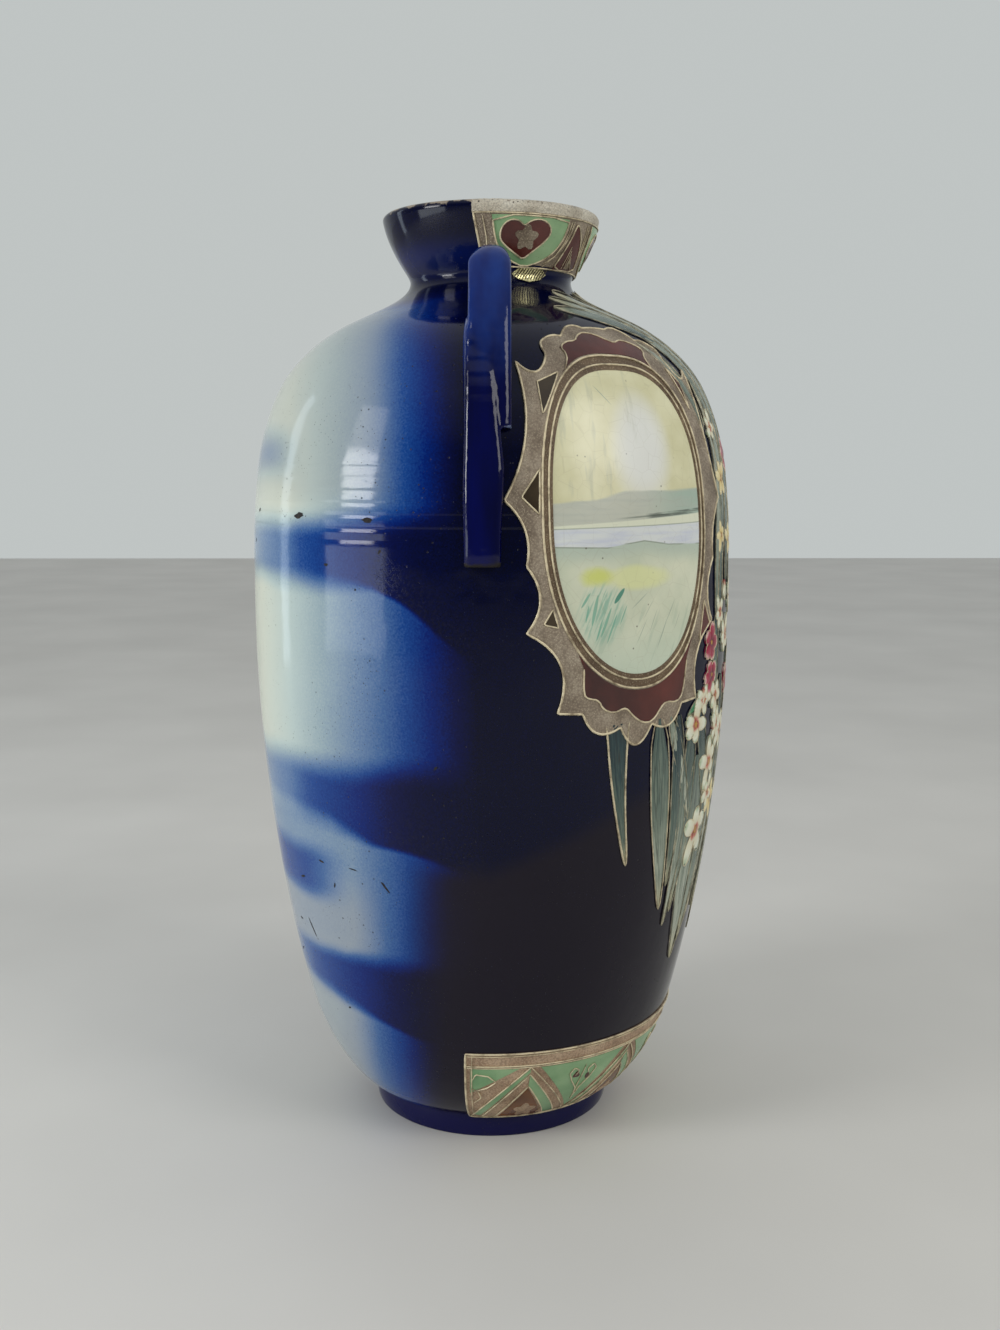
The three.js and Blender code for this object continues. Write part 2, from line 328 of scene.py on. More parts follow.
class Finish:
    """A material for one of the pot's finishes."""

    def __init__(self, name, **shader_values):
        self.material = bpy.data.materials.new(name)
        self.material.use_nodes = True
        self.tree = self.material.node_tree
        self.shader = self.tree.nodes["Principled BSDF"]
        for socket, value in shader_values.items():
            self.shader.inputs[socket.replace("_", " ")].default_value = value

    def node(self, kind, settings=None, sockets=None):
        """Any node, by its type, its settings and the values or links of its sockets."""
        made = self.tree.nodes.new(kind)
        for key, value in (settings or {}).items():
            if key == "stops":
                self.set_stops(made.color_ramp, value)
            else:
                setattr(made, key, value)
        for key, value in (sockets or {}).items():
            if isinstance(value, Value):
                self.tree.links.new(value.output, made.inputs[key])
            else:
                made.inputs[key].default_value = value
        return made

    @staticmethod
    def set_stops(ramp, stops):
        while len(ramp.elements) < len(stops):
            ramp.elements.new(1)
        for element, (place, colour) in zip(ramp.elements, stops):
            element.position = place
            element.color = colour

    def sums(self, operation, left, right):
        made = self.node("ShaderNodeMath", {"operation": operation}, {0: left, 1: right})
        return Value(self, made.outputs[0])

    def greatest(self, left, right):
        return self.sums("MAXIMUM", left, right)

    def least(self, left, right):
        return self.sums("MINIMUM", left, right)

    def place(self):
        """Object coordinates in metres."""
        return Value(self, self.node("ShaderNodeTexCoord").outputs["Object"])

    def drawing(self):
        """The flat drawing that a laid piece keeps, in metres."""
        return Value(self, self.node("ShaderNodeAttribute", {"attribute_name": "drawing"}).outputs["Vector"])

    def amount(self, name):
        """A number kept on the piece's points."""
        return Value(self, self.node("ShaderNodeAttribute", {"attribute_name": name}).outputs["Fac"])

    def parts(self, vector):
        split = self.node("ShaderNodeSeparateXYZ", None, {0: vector})
        return [Value(self, output) for output in split.outputs]

    def stretched(self, vector, scale, turn=0.0):
        settings = {"vector_type": "POINT"}
        sockets = {"Vector": vector, "Scale": scale, "Rotation": (0, 0, turn)}
        return Value(self, self.node("ShaderNodeMapping", settings, sockets).outputs[0])

    def noise(self, vector, scale, detail=3.0, roughness=0.5):
        sockets = {"Vector": vector, "Scale": scale, "Detail": detail, "Roughness": roughness}
        return Value(self, self.node("ShaderNodeTexNoise", None, sockets).outputs["Fac"])

    def cells(self, vector, scale, feature="F1", output="Distance"):
        made = self.node("ShaderNodeTexVoronoi", {"feature": feature}, {"Vector": vector, "Scale": scale})
        return Value(self, made.outputs[output])

    def step(self, value, low, high):
        """0 below low and 1 above high, with a soft change between; low may be the larger."""
        settings = {"interpolation_type": "SMOOTHSTEP"}
        sockets = {"Value": value, "From Min": low, "From Max": high}
        if isinstance(low, (int, float)) and isinstance(high, (int, float)) and low > high:
            sockets.update({"From Min": high, "From Max": low, "To Min": 1.0, "To Max": 0.0})
        return Value(self, self.node("ShaderNodeMapRange", settings, sockets).outputs[0])

    def line_at(self, across, points, unit=MM):
        """The level there of a line drawn through points of (millimetres across, level in units)."""
        low, high = points[0][0], points[-1][0]
        full = max(level for _, level in points)
        stops = [((place - low) / (high - low), (level / full,) * 3 + (1.0,)) for place, level in points]
        share = (across - low * MM) / ((high - low) * MM)
        found = self.node("ShaderNodeValToRGB", {"stops": stops}, {"Fac": share})
        return Value(self, found.outputs["Color"]) * (full * unit)

    def near(self, value, half):
        """1 where the value is within half of nothing, with soft edges."""
        return self.step(half - self.sums("ABSOLUTE", value, 0.0), 0.0, 0.0004)

    def stroke(self, x, y, start, end, width):
        """One brush stroke between two places in millimetres, drawn out at both ends."""
        way = Vector(end) - Vector(start)
        length = way.length * MM
        way.normalize()
        right = x - start[0] * MM
        above = y - start[1] * MM
        share = (right * way.x + above * way.y) / length
        swell = self.greatest(share * (1.0 - share) * 4.0, 0.0)
        return self.near(right * way.y - above * way.x, swell ** 0.5 * (width * MM / 2))

    def mixed(self, mask, under, over):
        """One screen colour or output, with another over it where the mask is 1."""
        under, over = (each if isinstance(each, Value) else screen(*each) for each in (under, over))
        made = self.node("ShaderNodeMix", {"data_type": "RGBA"}, {0: mask, 6: under, 7: over})
        return Value(self, made.outputs[2])

    def over(self, mask, colour):
        """Lay a screen colour or an output over what the finish shows so far, where the mask is 1."""
        self.colour = self.mixed(mask, self.colour, colour)

    def ramp(self, value, stops):
        """Colours along a value, each stop a place and a screen colour."""
        stops = [(place, screen(*colour)) for place, *colour in stops]
        made = self.node("ShaderNodeValToRGB", {"stops": stops}, {"Fac": value})
        return Value(self, made.outputs["Color"])

    def shows(self, roughness, metallic=0.0, bump=None, depth=0.0002):
        """Link the colour so far and what else changes over the surface."""
        for socket, value in (("Base Color", self.colour), ("Roughness", roughness), ("Metallic", metallic)):
            if isinstance(value, Value):
                self.tree.links.new(value.output, self.shader.inputs[socket])
            else:
                self.shader.inputs[socket].default_value = value
        if bump is not None:
            made = self.node("ShaderNodeBump", None, {"Height": bump, "Strength": 1.0, "Distance": depth})
            self.tree.links.new(made.outputs[0], self.shader.inputs["Normal"])
        return self.material


def screen(red, green, blue):
    """A colour given as it looks on a screen, 0 to 255."""
    def linear(level):
        share = level / 255
        return share / 12.92 if share <= 0.04045 else ((share + 0.055) / 1.055) ** 2.4
    return (linear(red), linear(green), linear(blue), 1.0)


# The first colour is for a painted reflection of the dark room; the rest are clay and slip colours
REFLECTED_AUBERGINE = (26, 21, 32)
BODY_CLAY = (96, 78, 62)
DARK_CLAY = (30, 26, 24)
SLIP = (150, 136, 118)
SLIP_DARK = (120, 106, 90)
SLIP_PALE = (180, 167, 148)
SLIP_LIGHT = (214, 200, 172)


# The sprayed pattern, drawn as lines: by height, how far back the coat starts and how soon it is full
CLOUD_EDGE = [(0, 138), (105, 138), (150, 150), (372, 150), (400, 127), (610, 127)]
CLOUD_FADE = [(0, 111), (105, 111), (150, 143), (372, 143), (400, 110), (610, 110)]
# By depth towards the back, the lower edge of each dark band and how dark the bands are
SHOULDER_BAND_FOOT = [(0, 326), (15, 335), (35, 352), (55, 366), (70, 374), (110, 376), (165, 378)]
WAIST_BAND_FOOT = [(0, 194), (15, 200), (35, 208), (55, 213), (75, 217), (100, 226), (165, 229)]
FOOT_BAND_FOOT = [(0, 74), (45, 85), (65, 92), (85, 99), (105, 102), (165, 104)]
BAND_DEPTH = [(0, 1.0), (45, 0.96), (60, 0.90), (80, 0.80), (105, 0.73), (118, 0.68), (130, 0.56), (165, 0.40)]


def sprayed_glaze():
    """Cobalt glaze over the whole pot, sprayed thin in four pale clouds round the back."""
    finish = Finish("sprayed_cobalt_glaze", Specular_IOR_Level=0.22)
    place = finish.place()
    x, y, z = finish.parts(place)
    grain = finish.noise(place, 800.0, 2.0)
    back = y + (finish.noise(place, 9.0, 2.0) - 0.5) * 0.014
    rise = z + (finish.noise(place, 13.0, 2.0) - 0.5) * 0.012

    # The coat thickens from the pale clouds at the back to full navy near the handles
    coat = (finish.line_at(z, CLOUD_EDGE) - back) / finish.line_at(z, CLOUD_FADE)
    coat = finish.least(finish.greatest(coat, 0.0), 1.0)
    low_haze = finish.step(rise, 0.245, 0.220) * (0.44 - finish.step(rise, 0.150, 0.112) * 0.13)
    coat = finish.greatest(coat, low_haze)
    soft = finish.step(back, 0.060, 0.110) * 0.008 + 0.0025
    depth = finish.line_at(back, BAND_DEPTH, 1.0)
    crawled = 0.0
    for foot_line, top, fade in (
        (SHOULDER_BAND_FOOT, 0.413, 0.011), (WAIST_BAND_FOOT, 0.263, 0.012), (FOOT_BAND_FOOT, 0.135, 0.008),
    ):
        foot = finish.line_at(back, foot_line)
        band = finish.step(rise, foot - soft, foot + soft) * finish.step(rise, top + fade, top - fade)
        coat = coat + band * finish.greatest(depth - coat, 0.0)
        if foot_line is not FOOT_BAND_FOOT:
            crawled = crawled + finish.step(rise, foot, foot + 0.003) * finish.step(rise, foot + 0.034, foot + 0.010)
    high_tail = finish.step(rise, 0.430, 0.452) * finish.step(rise, 0.477, 0.455) * finish.step(back, 0.110, 0.145)
    low_tail = finish.step(rise, 0.162, 0.180) * finish.step(rise, 0.212, 0.196) * finish.step(back, 0.085, 0.122)
    coat = coat + high_tail * finish.greatest(0.50 - coat, 0.0)
    coat = coat + low_tail * finish.greatest(0.70 - coat, 0.0)
    coat = finish.greatest(coat, finish.step(rise, 0.522, 0.560))
    coat = finish.greatest(coat, finish.step(rise, 0.048, 0.018) * 0.58)
    speckle = (grain - 0.5) * 0.14 * finish.step(coat, 0.05, 0.35)
    finish.colour = finish.ramp(coat + speckle, [
        (0.0, 206, 211, 196), (0.18, 180, 195, 192), (0.32, 151, 170, 178),
        (0.49, 105, 131, 165), (0.60, 66, 101, 152), (0.70, 22, 66, 136),
        (0.80, 0, 32, 108), (0.90, 3, 12, 66), (1.0, 1, 4, 34),
    ])
    greyed = finish.step(rise, 0.205, 0.160) * finish.step(coat, 0.62, 0.40)
    finish.over(greyed * 0.65, (156, 160, 163))
    ashen = finish.step(rise, 0.412, 0.436) * finish.step(coat, 0.68, 0.45)
    finish.over(ashen * 0.45, (160, 165, 160))
    # Painted reflection: a dark aubergine tint low on the front, standing in for the dark floor and room mirrored in
    # the glaze
    reflection_edge = rise - 0.203 - finish.greatest(y * -0.43, 0.0)
    shade = finish.step(reflection_edge, 0.009, -0.009) * finish.step(back, 0.060, 0.020)
    finish.over(shade * 0.9, REFLECTED_AUBERGINE)

    # Crawled specks along the poured edges, dust in the dark glaze, pinholes, and clay bared at the rim
    crawled = crawled * finish.step(back, 0.078, 0.060) * finish.step(back, -0.005, 0.012)
    crawled = crawled * finish.step(finish.noise(place, 480.0, 4.0, 0.6), 0.50, 0.60)
    finish.over(crawled * 0.18, (34, 32, 38))
    inside = finish.step(x * x + y * y, 0.0046, 0.0036) * finish.step(z, 0.560, 0.580)
    finish.over(inside, (10, 22, 76))
    foot_ring = finish.step(z, 0.0172, 0.0158)
    finish.over(foot_ring, (14, 14, 64))
    dust = finish.step(finish.cells(place, 300.0), 0.10, 0.05) * finish.step(finish.noise(place, 30.0), 0.48, 0.62)
    finish.over(dust * finish.step(coat, 0.6, 0.9) * 0.4, (66, 76, 104))
    pinhole = finish.step(finish.cells(place, 170.0), 0.12, 0.06) * finish.step(finish.noise(place, 18.0), 0.50, 0.60)
    fine_pit = finish.step(finish.cells(place, 420.0), 0.14, 0.08) * finish.step(finish.noise(place, 34.0), 0.50, 0.60)
    pinhole = finish.greatest(pinhole, fine_pit)
    finish.over(pinhole * 0.8, DARK_CLAY)
    rim_wear = finish.step(z + (finish.noise(place, 160.0, 4.0) - 0.5) * 0.010, 0.6078, 0.6096)
    finish.over(rim_wear, (150, 138, 122))
    roughness = 0.07 + pinhole * 0.4 + rim_wear * 0.35 + crawled * 0.08 + finish.noise(place, 60.0) * 0.05
    height = finish.noise(place, 40.0, 2.0) * 0.6 - pinhole * 0.5 + grain * 0.02 + crawled * 0.04
    return finish.shows(roughness, bump=height, depth=0.0005)


def handle_glaze():
    """Poured cobalt glaze, darker down the strap, with pale edges that are partly glaze wear and partly a painted
    highlight.
    """
    finish = Finish("handle_cobalt_glaze", Specular_IOR_Level=0.26)
    place = finish.place()
    wear = finish.amount("wear")
    height = finish.parts(place)[2]
    streak = finish.noise(finish.stretched(place, (60.0, 60.0, 9.0)), 1.0, 3.0)
    upper = finish.ramp(streak, [(0.30, 2, 26, 92), (0.72, 10, 50, 124)])
    lower = finish.ramp(streak, [(0.30, 0, 2, 40), (0.72, 0, 5, 72)])
    finish.colour = finish.mixed(finish.step(height + (streak - 0.5) * 0.04, 0.545, 0.485), upper, lower)
    # Pale edges: partly glaze thinned by wear, partly a painted highlight along the rounded edges
    pale_edge_wear_and_sheen = finish.step(wear + (finish.noise(place, 240.0, 4.0) - 0.5) * 0.5, 0.55, 0.85)
    finish.over(pale_edge_wear_and_sheen * 0.7, (120, 134, 168))
    # Dark band at the strap's foot: chipped clay and a painted shadow where the strap meets the wall
    foot_chips_and_shadow = finish.step(height + (finish.noise(place, 120.0, 3.0) - 0.5) * 0.006, 0.3915, 0.3895)
    finish.over(foot_chips_and_shadow, DARK_CLAY)
    roughness = 0.09 + pale_edge_wear_and_sheen * 0.2 + foot_chips_and_shadow * 0.5
    return finish.shows(roughness, bump=finish.noise(place, 70.0, 2.0), depth=0.0006)


def floor_finish():
    finish = Finish("pale_floor")
    place = finish.place()
    finish.colour = finish.ramp(finish.noise(place, 3.0), [(0.3, 205, 203, 198), (0.7, 214, 212, 207)])
    return finish.shows(0.7)


# The thrown body

# Throwing grooves: height, depth and width
GROOVES = [
    (417, 0.22, 1.0), (409, 0.28, 1.2), (431, 0.12, 1.5), (396, 0.10, 2.0), (246, 0.10, 3.0), (300, 0.1, 4.0),
    (424, 0.12, 1.0), (439, 0.12, 1.2), (447, 0.10, 1.1),
]
GROOVED_ROWS = [402 + step / 2 for step in range(101)]


def groove_at(height):
    """How deep the throwing grooves cut there."""
    return sum(depth * math.exp(-((height - middle) / width) ** 2) for middle, depth, width in GROOVES)


def body_line():
    """The section of the wall, from under the foot over the lip to the floor inside."""
    ring_inside = FOOT_RADIUS - FOOT_RING_WIDTH
    line = [(0, FOOT_RECESS), (ring_inside - 6, FOOT_RECESS), (ring_inside - 2, FOOT_RECESS - 0.8)]
    line += [(ring_inside, FOOT_RECESS - 2.5), (ring_inside + 0.5, 1), (ring_inside + 1.5, 0)]
    line += [(FOOT_RADIUS - FOOT_EDGE, 0), (FOOT_RADIUS - 0.4, 0.4), (FOOT_RADIUS, FOOT_EDGE)]
    line += [(FOOT_RADIUS + 0.9, 7), (FOOT_RADIUS + 1.0, 12.5), (FOOT_RADIUS + 0.6, 15.2)]
    outside = []
    for place in curve_through(WALL_STATIONS, 30):
        ripple = 0.03 * math.sin(place.y / 3.1) + 0.04 * math.sin(place.y / 7.3)
        outside.append((place.x - groove_at(place.y) - ripple, place.y))
    # Extra rows carry the grooves of the shoulder
    outside = [place for place in outside if not 401.8 <= place[1] < 452.2]
    outside += [(wall_at(height)[0] - groove_at(height), height) for height in GROOVED_ROWS]
    line += sorted(outside, key=lambda place: place[1])
    for turn in range(15, 91, 15):
        angle = math.radians(turn)
        line.append((MOUTH_RADIUS - LIP_ROUND * (1 - math.cos(angle)), LIP_HEIGHT + LIP_ROUND * math.sin(angle)))
    line += [(MOUTH_RADIUS - 5.5, HEIGHT - 0.2), (MOUTH_RADIUS - 7.2, HEIGHT - 1.6), (MOUTH_RADIUS - 8.2, HEIGHT - 4)]
    inside = []
    for place in curve_through(WALL_STATIONS, 12):
        outward = wall_at(place.y)[1]
        shifted = place - WALL * outward
        if FLOOR_HEIGHT + 5 < shifted.y < HEIGHT - 7:
            inside.append((shifted.x, shifted.y))
    line += sorted(inside, key=lambda place: -place[1])
    reach = inside[0][0]
    line += [(reach - 3, FLOOR_HEIGHT + 3), (reach - 9, FLOOR_HEIGHT + 0.6), (reach - 16, FLOOR_HEIGHT)]
    return line + [(0, FLOOR_HEIGHT)]


def throw_body():
    body = spun("vase_body", body_line(), 240)
    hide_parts("vase")
    finished(smooth(body, 35), sprayed_glaze())


# The handles: a strap rolled over a loop, both flattened coils

LOOP_STATIONS = [
    (90.7, 533, 90, 0, 20),
    (105.7, 571, 0, 12, 9),
    (127.7, 560, -53, 10, 20),
    (154.5, 467, -86, 34, 0),
]
LOOP_WIDTH = 24
LOOP_THICKNESS = 11
STRAP_TOP = 532
STRAP_FOOT = 388
STRAP_LEFT = 16.0


def coil_ring(count, half_width, half_depth, round_power):
    """A flattened coil's section: (across, out) points round a superellipse."""
    points = []
    for index in range(count):
        angle = 2 * math.pi * index / count
        across = math.copysign(abs(math.cos(angle)) ** round_power, math.cos(angle))
        out = math.copysign(abs(math.sin(angle)) ** round_power, math.sin(angle))
        points.append((half_width * across, half_depth * out))
    return points


def roll_loop():
    centre = curve_through(LOOP_STATIONS, 14)
    rings = []
    for index, place in enumerate(centre):
        before = centre[max(index - 1, 0)]
        after = centre[min(index + 1, len(centre) - 1)]
        along = (after - before).normalized()
        out = Vector((-along.y, along.x))
        share = index / (len(centre) - 1)
        wobble = 0.4 * math.sin(9 * share) + 0.3 * math.sin(23 * share)
        arch = 1 - min(abs(share - 0.33) / 0.27, 1) ** 1.6
        waist = 1 - 0.32 * arch
        half_width = (LOOP_WIDTH / 2 + 0.7 + 0.3 * wobble) * waist
        section = coil_ring(24, half_width, LOOP_THICKNESS / 2, 0.72 + 0.16 * arch)
        ring = []
        for across, rise in section:
            flat = place + out * rise
            ring.append(Vector((-flat.x, across + 0.6 - 0.8 * arch + 0.25 * wobble, flat.y)) * MM)
        rings.append(ring)
    return lofted("loop", rings)


def loop_face(height):
    """How far the loop's outer face stands from the axis on its way down."""
    nearest = min(curve_through(LOOP_STATIONS[2:], 24), key=lambda place: abs(place.y - height))
    return nearest.x + LOOP_THICKNESS / 2


def strap_face(height):
    """The strap's face: flush with the loop at its top, then proud of it, then down to the wall."""
    loop_end = LOOP_STATIONS[-1][1]
    if height < loop_end:
        foot = wall_at(STRAP_FOOT)[0] + 8
        above = (height - STRAP_FOOT) / (loop_end - STRAP_FOOT)
        return foot - (foot - loop_face(loop_end) - 2.4) * above ** 1.8
    proud = min(1, max(0, (518 - height) / 26))
    return loop_face(height) - 0.6 + 3.0 * proud * proud * (3 - 2 * proud)


def roll_strap():
    rings = []
    rows = 48
    for row in range(rows + 1):
        down = row / rows
        height = STRAP_TOP - (STRAP_TOP - STRAP_FOOT) * down
        left = STRAP_LEFT - 1.2 * max(0, 1 - down * 9) ** 2 + 0.3 * math.sin(down * 11)
        right = -1.0 - 6.6 * min(1, max(0, down - 0.10) / 0.5) ** 0.8 + 2.0 * max(0, down - 0.62) / 0.38
        right += 0.25 * math.sin(down * 17)
        face = strap_face(height) - 6 * max(0, 1 - down / 0.08) ** 2 - 1.6 * max(0, down - 0.96) / 0.04
        back = wall_at(height)[0] - 4
        middle = (left + right) / 2
        section = coil_ring(24, (left - right) / 2, (face - back) / 2, 0.58)
        depth = (face + back) / 2
        ring = [Vector((-(depth + out), middle + across, height)) for across, out in section]
        rings.append([place * MM for place in ring])
    return lofted("strap", rings)


def mark_edge_wear_and_sheen(piece):
    """Keep how sharply each point stands out, for the pale edges of glaze wear and painted highlight."""
    mesh = bmesh.new()
    mesh.from_mesh(piece.data)
    mesh.verts.ensure_lookup_table()
    sharp = []
    for vertex in mesh.verts:
        around = [edge.other_vert(vertex).co for edge in vertex.link_edges]
        middle = sum(around, Vector()) / len(around)
        length = sum((place - vertex.co).length for place in around) / len(around)
        sharp.append((vertex.co - middle).dot(vertex.normal) / max(length, 1e-6))
    for _ in range(2):
        sharp = [
            0.5 * sharp[vertex.index]
            + 0.5 * sum(sharp[edge.other_vert(vertex).index] for edge in vertex.link_edges) / len(vertex.link_edges)
            for vertex in mesh.verts
        ]
    mesh.free()
    # The wear amount stands for both glaze wear and a painted edge highlight
    attribute = piece.data.attributes.new("wear", "FLOAT", "POINT")
    attribute.data.foreach_set("value", [min(max(level * 6, 0), 1) for level in sharp])


def lute_handle():
    """The loop and strap pressed together, under one coat of glaze."""
    handle = joined("handle_left", [roll_loop(), roll_strap()])
    remesh = handle.modifiers.new("one_clay", "REMESH")
    remesh.mode = "VOXEL"
    remesh.voxel_size = 1.0 * MM
    pick(handle)
    bpy.ops.object.modifier_apply(modifier=remesh.name)
    soften = handle.modifiers.new("soft_glaze", "SMOOTH")
    soften.iterations = 4
    soften.factor = 0.5
    bpy.ops.object.modifier_apply(modifier=soften.name)
    mark_edge_wear_and_sheen(handle)
    pick(handle)
    bpy.ops.object.shade_smooth()
    bpy.ops.object.duplicate()
    other = newest("handle_right")
    for vertex in other.data.vertices:
        vertex.co.x = -vertex.co.x
        vertex.co.y = -vertex.co.y
    glaze = handle_glaze()
    finished(handle, glaze)
    finished(other, glaze)


# Trailed slip lines

class Trails:
    """Raised lines drawn on the flat, laid on the wall as one piece."""

    def __init__(self, seed):
        self.lines = []
        self.chance = random.Random(seed)

    def turned(self, points, thickness, closed=False, lift=0.9):
        """Keep a line through places given as turn and height."""
        self.line(turned_points(points), thickness, closed, lift)

    def line(self, points, thickness, closed=False, lift=0.9):
        """Keep a line through points, resampled to short even steps."""
        places = [Vector(point[:2]) for point in points]
        if closed:
            places.append(places[0])
        lengths = [(after - before).length for before, after in zip(places, places[1:])]
        total = sum(lengths)
        count = max(2, round(total / 2.0))
        even = []
        index = 0
        passed = 0.0
        for step in range(count + (0 if closed else 1)):
            target = total * step / count
            while index < len(lengths) - 1 and passed + lengths[index] < target:
                passed += lengths[index]
                index += 1
            share = (target - passed) / max(lengths[index], 1e-6)
            even.append(places[index] + share * (places[index + 1] - places[index]))
        self.lines.append((even, thickness, closed, lift))

    def made(self, name):
        clear_selection()
        bpy.ops.curve.primitive_nurbs_path_add()
        trail = newest(name)
        curve = trail.data
        curve.splines.clear()
        curve.dimensions = "3D"
        curve.bevel_depth = MM
        curve.bevel_resolution = 1
        curve.use_fill_caps = True
        for even, thickness, closed, lift in self.lines:
            spline = curve.splines.new("POLY")
            spline.points.add(len(even) - 1)
            spline.use_cyclic_u = closed
            for index, (point, place) in enumerate(zip(spline.points, even)):
                point.co = (*on_wall(place.x, place.y, lift), 1)
                end = min(index, len(even) - 1 - index) / 3
                taper = 1 if closed else min(1, 0.5 + end)
                point.radius = thickness * taper * self.chance.uniform(0.88, 1.12)
        pick(trail)
        bpy.ops.object.convert(target="MESH")
        trail = newest(name)
        bpy.ops.object.shade_smooth()
        return trail

    def in_pair(self, name, finish):
        """The lines laid on the left half of the front, and turned over on the right."""
        lines = self.made(name + "_left")
        finished(lines, finish)
        finished(mirrored(lines, name + "_right"), finish)


def arc_between(start, end, bow, steps=10):
    """Points from start up to but not at end, bowed to the left of the way by bow."""
    start = Vector(start)
    end = Vector(end)
    along = end - start
    side = Vector((-along.y, along.x)).normalized()
    points = []
    for step in range(steps):
        t = step / steps
        points.append(start + along * t + side * bow * 4 * t * (1 - t))
    return points


def blended(points, closed, rounds=1):
    """Round off a drawn line by cutting its corners."""
    for _ in range(rounds):
        result = []
        last = len(points) if closed else len(points) - 1
        if not closed:
            result.append(Vector(points[0]))
        for index in range(last):
            first = Vector(points[index])
            second = Vector(points[(index + 1) % len(points)])
            result.append(first.lerp(second, 0.25))
            result.append(first.lerp(second, 0.75))
        if not closed:
            result.append(Vector(points[-1]))
        points = result
    return points


# The painted panel, drawn from its own centre

PANEL_X = 33.3 * DEGREE
PANEL_Y = 412
# The frame's corners on the half by the handle, and how far the edge that comes to each one bows
FRAME_CORNERS = [
    (-12, 116, 0.5), (-37, 110, 4), (-56, 106, 2), (-54, 99, 1), (-77, 94, -9), (-86, 14, -9), (-73, -24, -6),
    (-73, -63, -8), (-54, -111, -12), (-38, -112, 0), (-12, -122, 8),
]
# The half away from the handle is a little wider, and the oval leans
FAR_HALF = 1.04
OVAL_LEAN = 0.022
FRAME_FOOT_BOW = 12
OVAL_HALF_WIDTH = 57.3
OVAL_HALF_HEIGHT = 90.5


def oval_point(margin, angle):
    """A place on the painting's outline, fuller at its top, a margin outside its edge."""
    power = 2 / (2.9 if math.sin(angle) > 0 else 2.1)
    across = math.copysign(abs(math.cos(angle)) ** power, math.cos(angle)) * (OVAL_HALF_WIDTH + margin)
    up = math.copysign(abs(math.sin(angle)) ** power, math.sin(angle)) * (OVAL_HALF_HEIGHT + margin * 1.35)
    return across - OVAL_LEAN * up, up


def oval(margin, count=96):
    return [oval_point(margin, 2 * math.pi * index / count) for index in range(count)]


def frame_outline():
    """The scalloped outline, anticlockwise from the top of the left half and back up the right."""
    near = [(x, y) for x, y, _ in FRAME_CORNERS]
    far = [(-x * FAR_HALF, y) for x, y in near]
    corners = near + far[::-1]
    bows = [bow for _, _, bow in FRAME_CORNERS]
    bows = bows[1:] + [FRAME_FOOT_BOW] + bows[:0:-1] + bows[:1]
    points = []
    for start, end, bow in zip(corners, corners[1:] + corners[:1], bows):
        points += arc_between(start, end, -bow)
    return points


def in_panel(points):
    return [(point[0] + PANEL_X, point[1] + PANEL_Y) for point in points]


def oval_side(margin, low_angle, high_angle, count=20):
    """Part of the oval line between two angles in degrees, 90 at its top."""
    step = (high_angle - low_angle) / count
    return [oval_point(margin, math.radians(low_angle + step * index)) for index in range(count + 1)]


TOP_FIELD_EDGE = [
    (-43, 89), (-38, 98), (-42, 103), (-35, 106.5), (-27, 107), (-23, 110.5), (-15, 113), (-5, 112), (3, 109),
    (10, 107), (16, 109), (22, 109), (32, 107), (38, 103.5), (32, 99), (34, 92),
]
FOOT_FIELD_EDGE = [
    (-38, -85), (-38, -100), (-35, -103), (-28, -104), (-25, -110), (-17, -113), (-9, -109.5), (-3, -116),
    (5, -121), (13, -120.5), (20, -112), (24, -109.5), (34, -111), (40, -107), (43, -84),
]
SIDE_FIELDS = [
    [(-63.5, 82), (-48, 88), (-61.5, 63)],
    [(-65, 32), (-76, 16), (-65.5, 6)],
    [(-57.5, -49), (-63, -58), (-54, -60)],
]
FAR_FIELDS = [[(52, 93), (61, 85), (62.5, 68)], [(63, -50), (72, -65), (58, -74)]]


def panel_fields():
    """The oxblood fields between the scallops and the oval."""
    top = TOP_FIELD_EDGE + oval_side(7.0, 58, 124)
    foot = FOOT_FIELD_EDGE + oval_side(7.0, -42, -131)
    return [in_panel(field) for field in [top, foot] + FAR_FIELDS]


def stippled(flat):
    """Small raised dots of the slip ground."""
    spot = noise.noise(Vector((flat.x * 0.62, flat.y * 0.62, 3.0)))
    broad = noise.noise(Vector((flat.x * 0.08, flat.y * 0.08, 9.0)))
    return 0.16 * spot + 0.10 * broad


def slip_finish(name, gold, shades=(SLIP_DARK, SLIP, SLIP_PALE), gloss=0.42):
    """Slip, stippled, with gilding rubbed down to its high points."""
    finish = Finish(name)
    place = finish.place()
    dots = finish.cells(place, 760.0)
    grime = finish.noise(place, 60.0, 4.0)
    finish.colour = finish.ramp(grime, [(level, *shade) for level, shade in zip((0.3, 0.5, 0.75), shades)])
    raised = finish.step(dots, 0.42, 0.12)
    finish.over(raised * 0.35, SLIP_LIGHT)
    finish.over(finish.step(dots, 0.5, 0.75) * 0.35, (84, 70, 58))
    return finish.shows(gloss + grime * 0.2, gold, bump=raised + grime * 0.4, depth=0.0003)


def line_finish(name, low, high, gold):
    """The trailed lines: slip with rubbed gilding and dirt beside it."""
    finish = Finish(name)
    wear = finish.noise(finish.place(), 130.0, 4.0, 0.65)
    finish.colour = finish.ramp(wear, [(0.32, *low), (0.52, *high), (0.75, 236, 224, 192)])
    return finish.shows(0.3 + wear * 0.25, gold, bump=wear)


def enamel_finish(name, low, high):
    """Glossy enamel with brushed variation and fine dark dust."""
    finish = Finish(name)
    place = finish.place()
    cloud = finish.noise(finish.stretched(place, (30.0, 30.0, 30.0)), 1.0, 4.0)
    finish.colour = finish.ramp(cloud, [(0.3, *low), (0.7, *high)])
    finish.over(finish.step(finish.cells(place, 420.0), 0.12, 0.06) * 0.6, (40, 34, 30))
    return finish.shows(0.16 + cloud * 0.12, bump=finish.noise(place, 160.0))


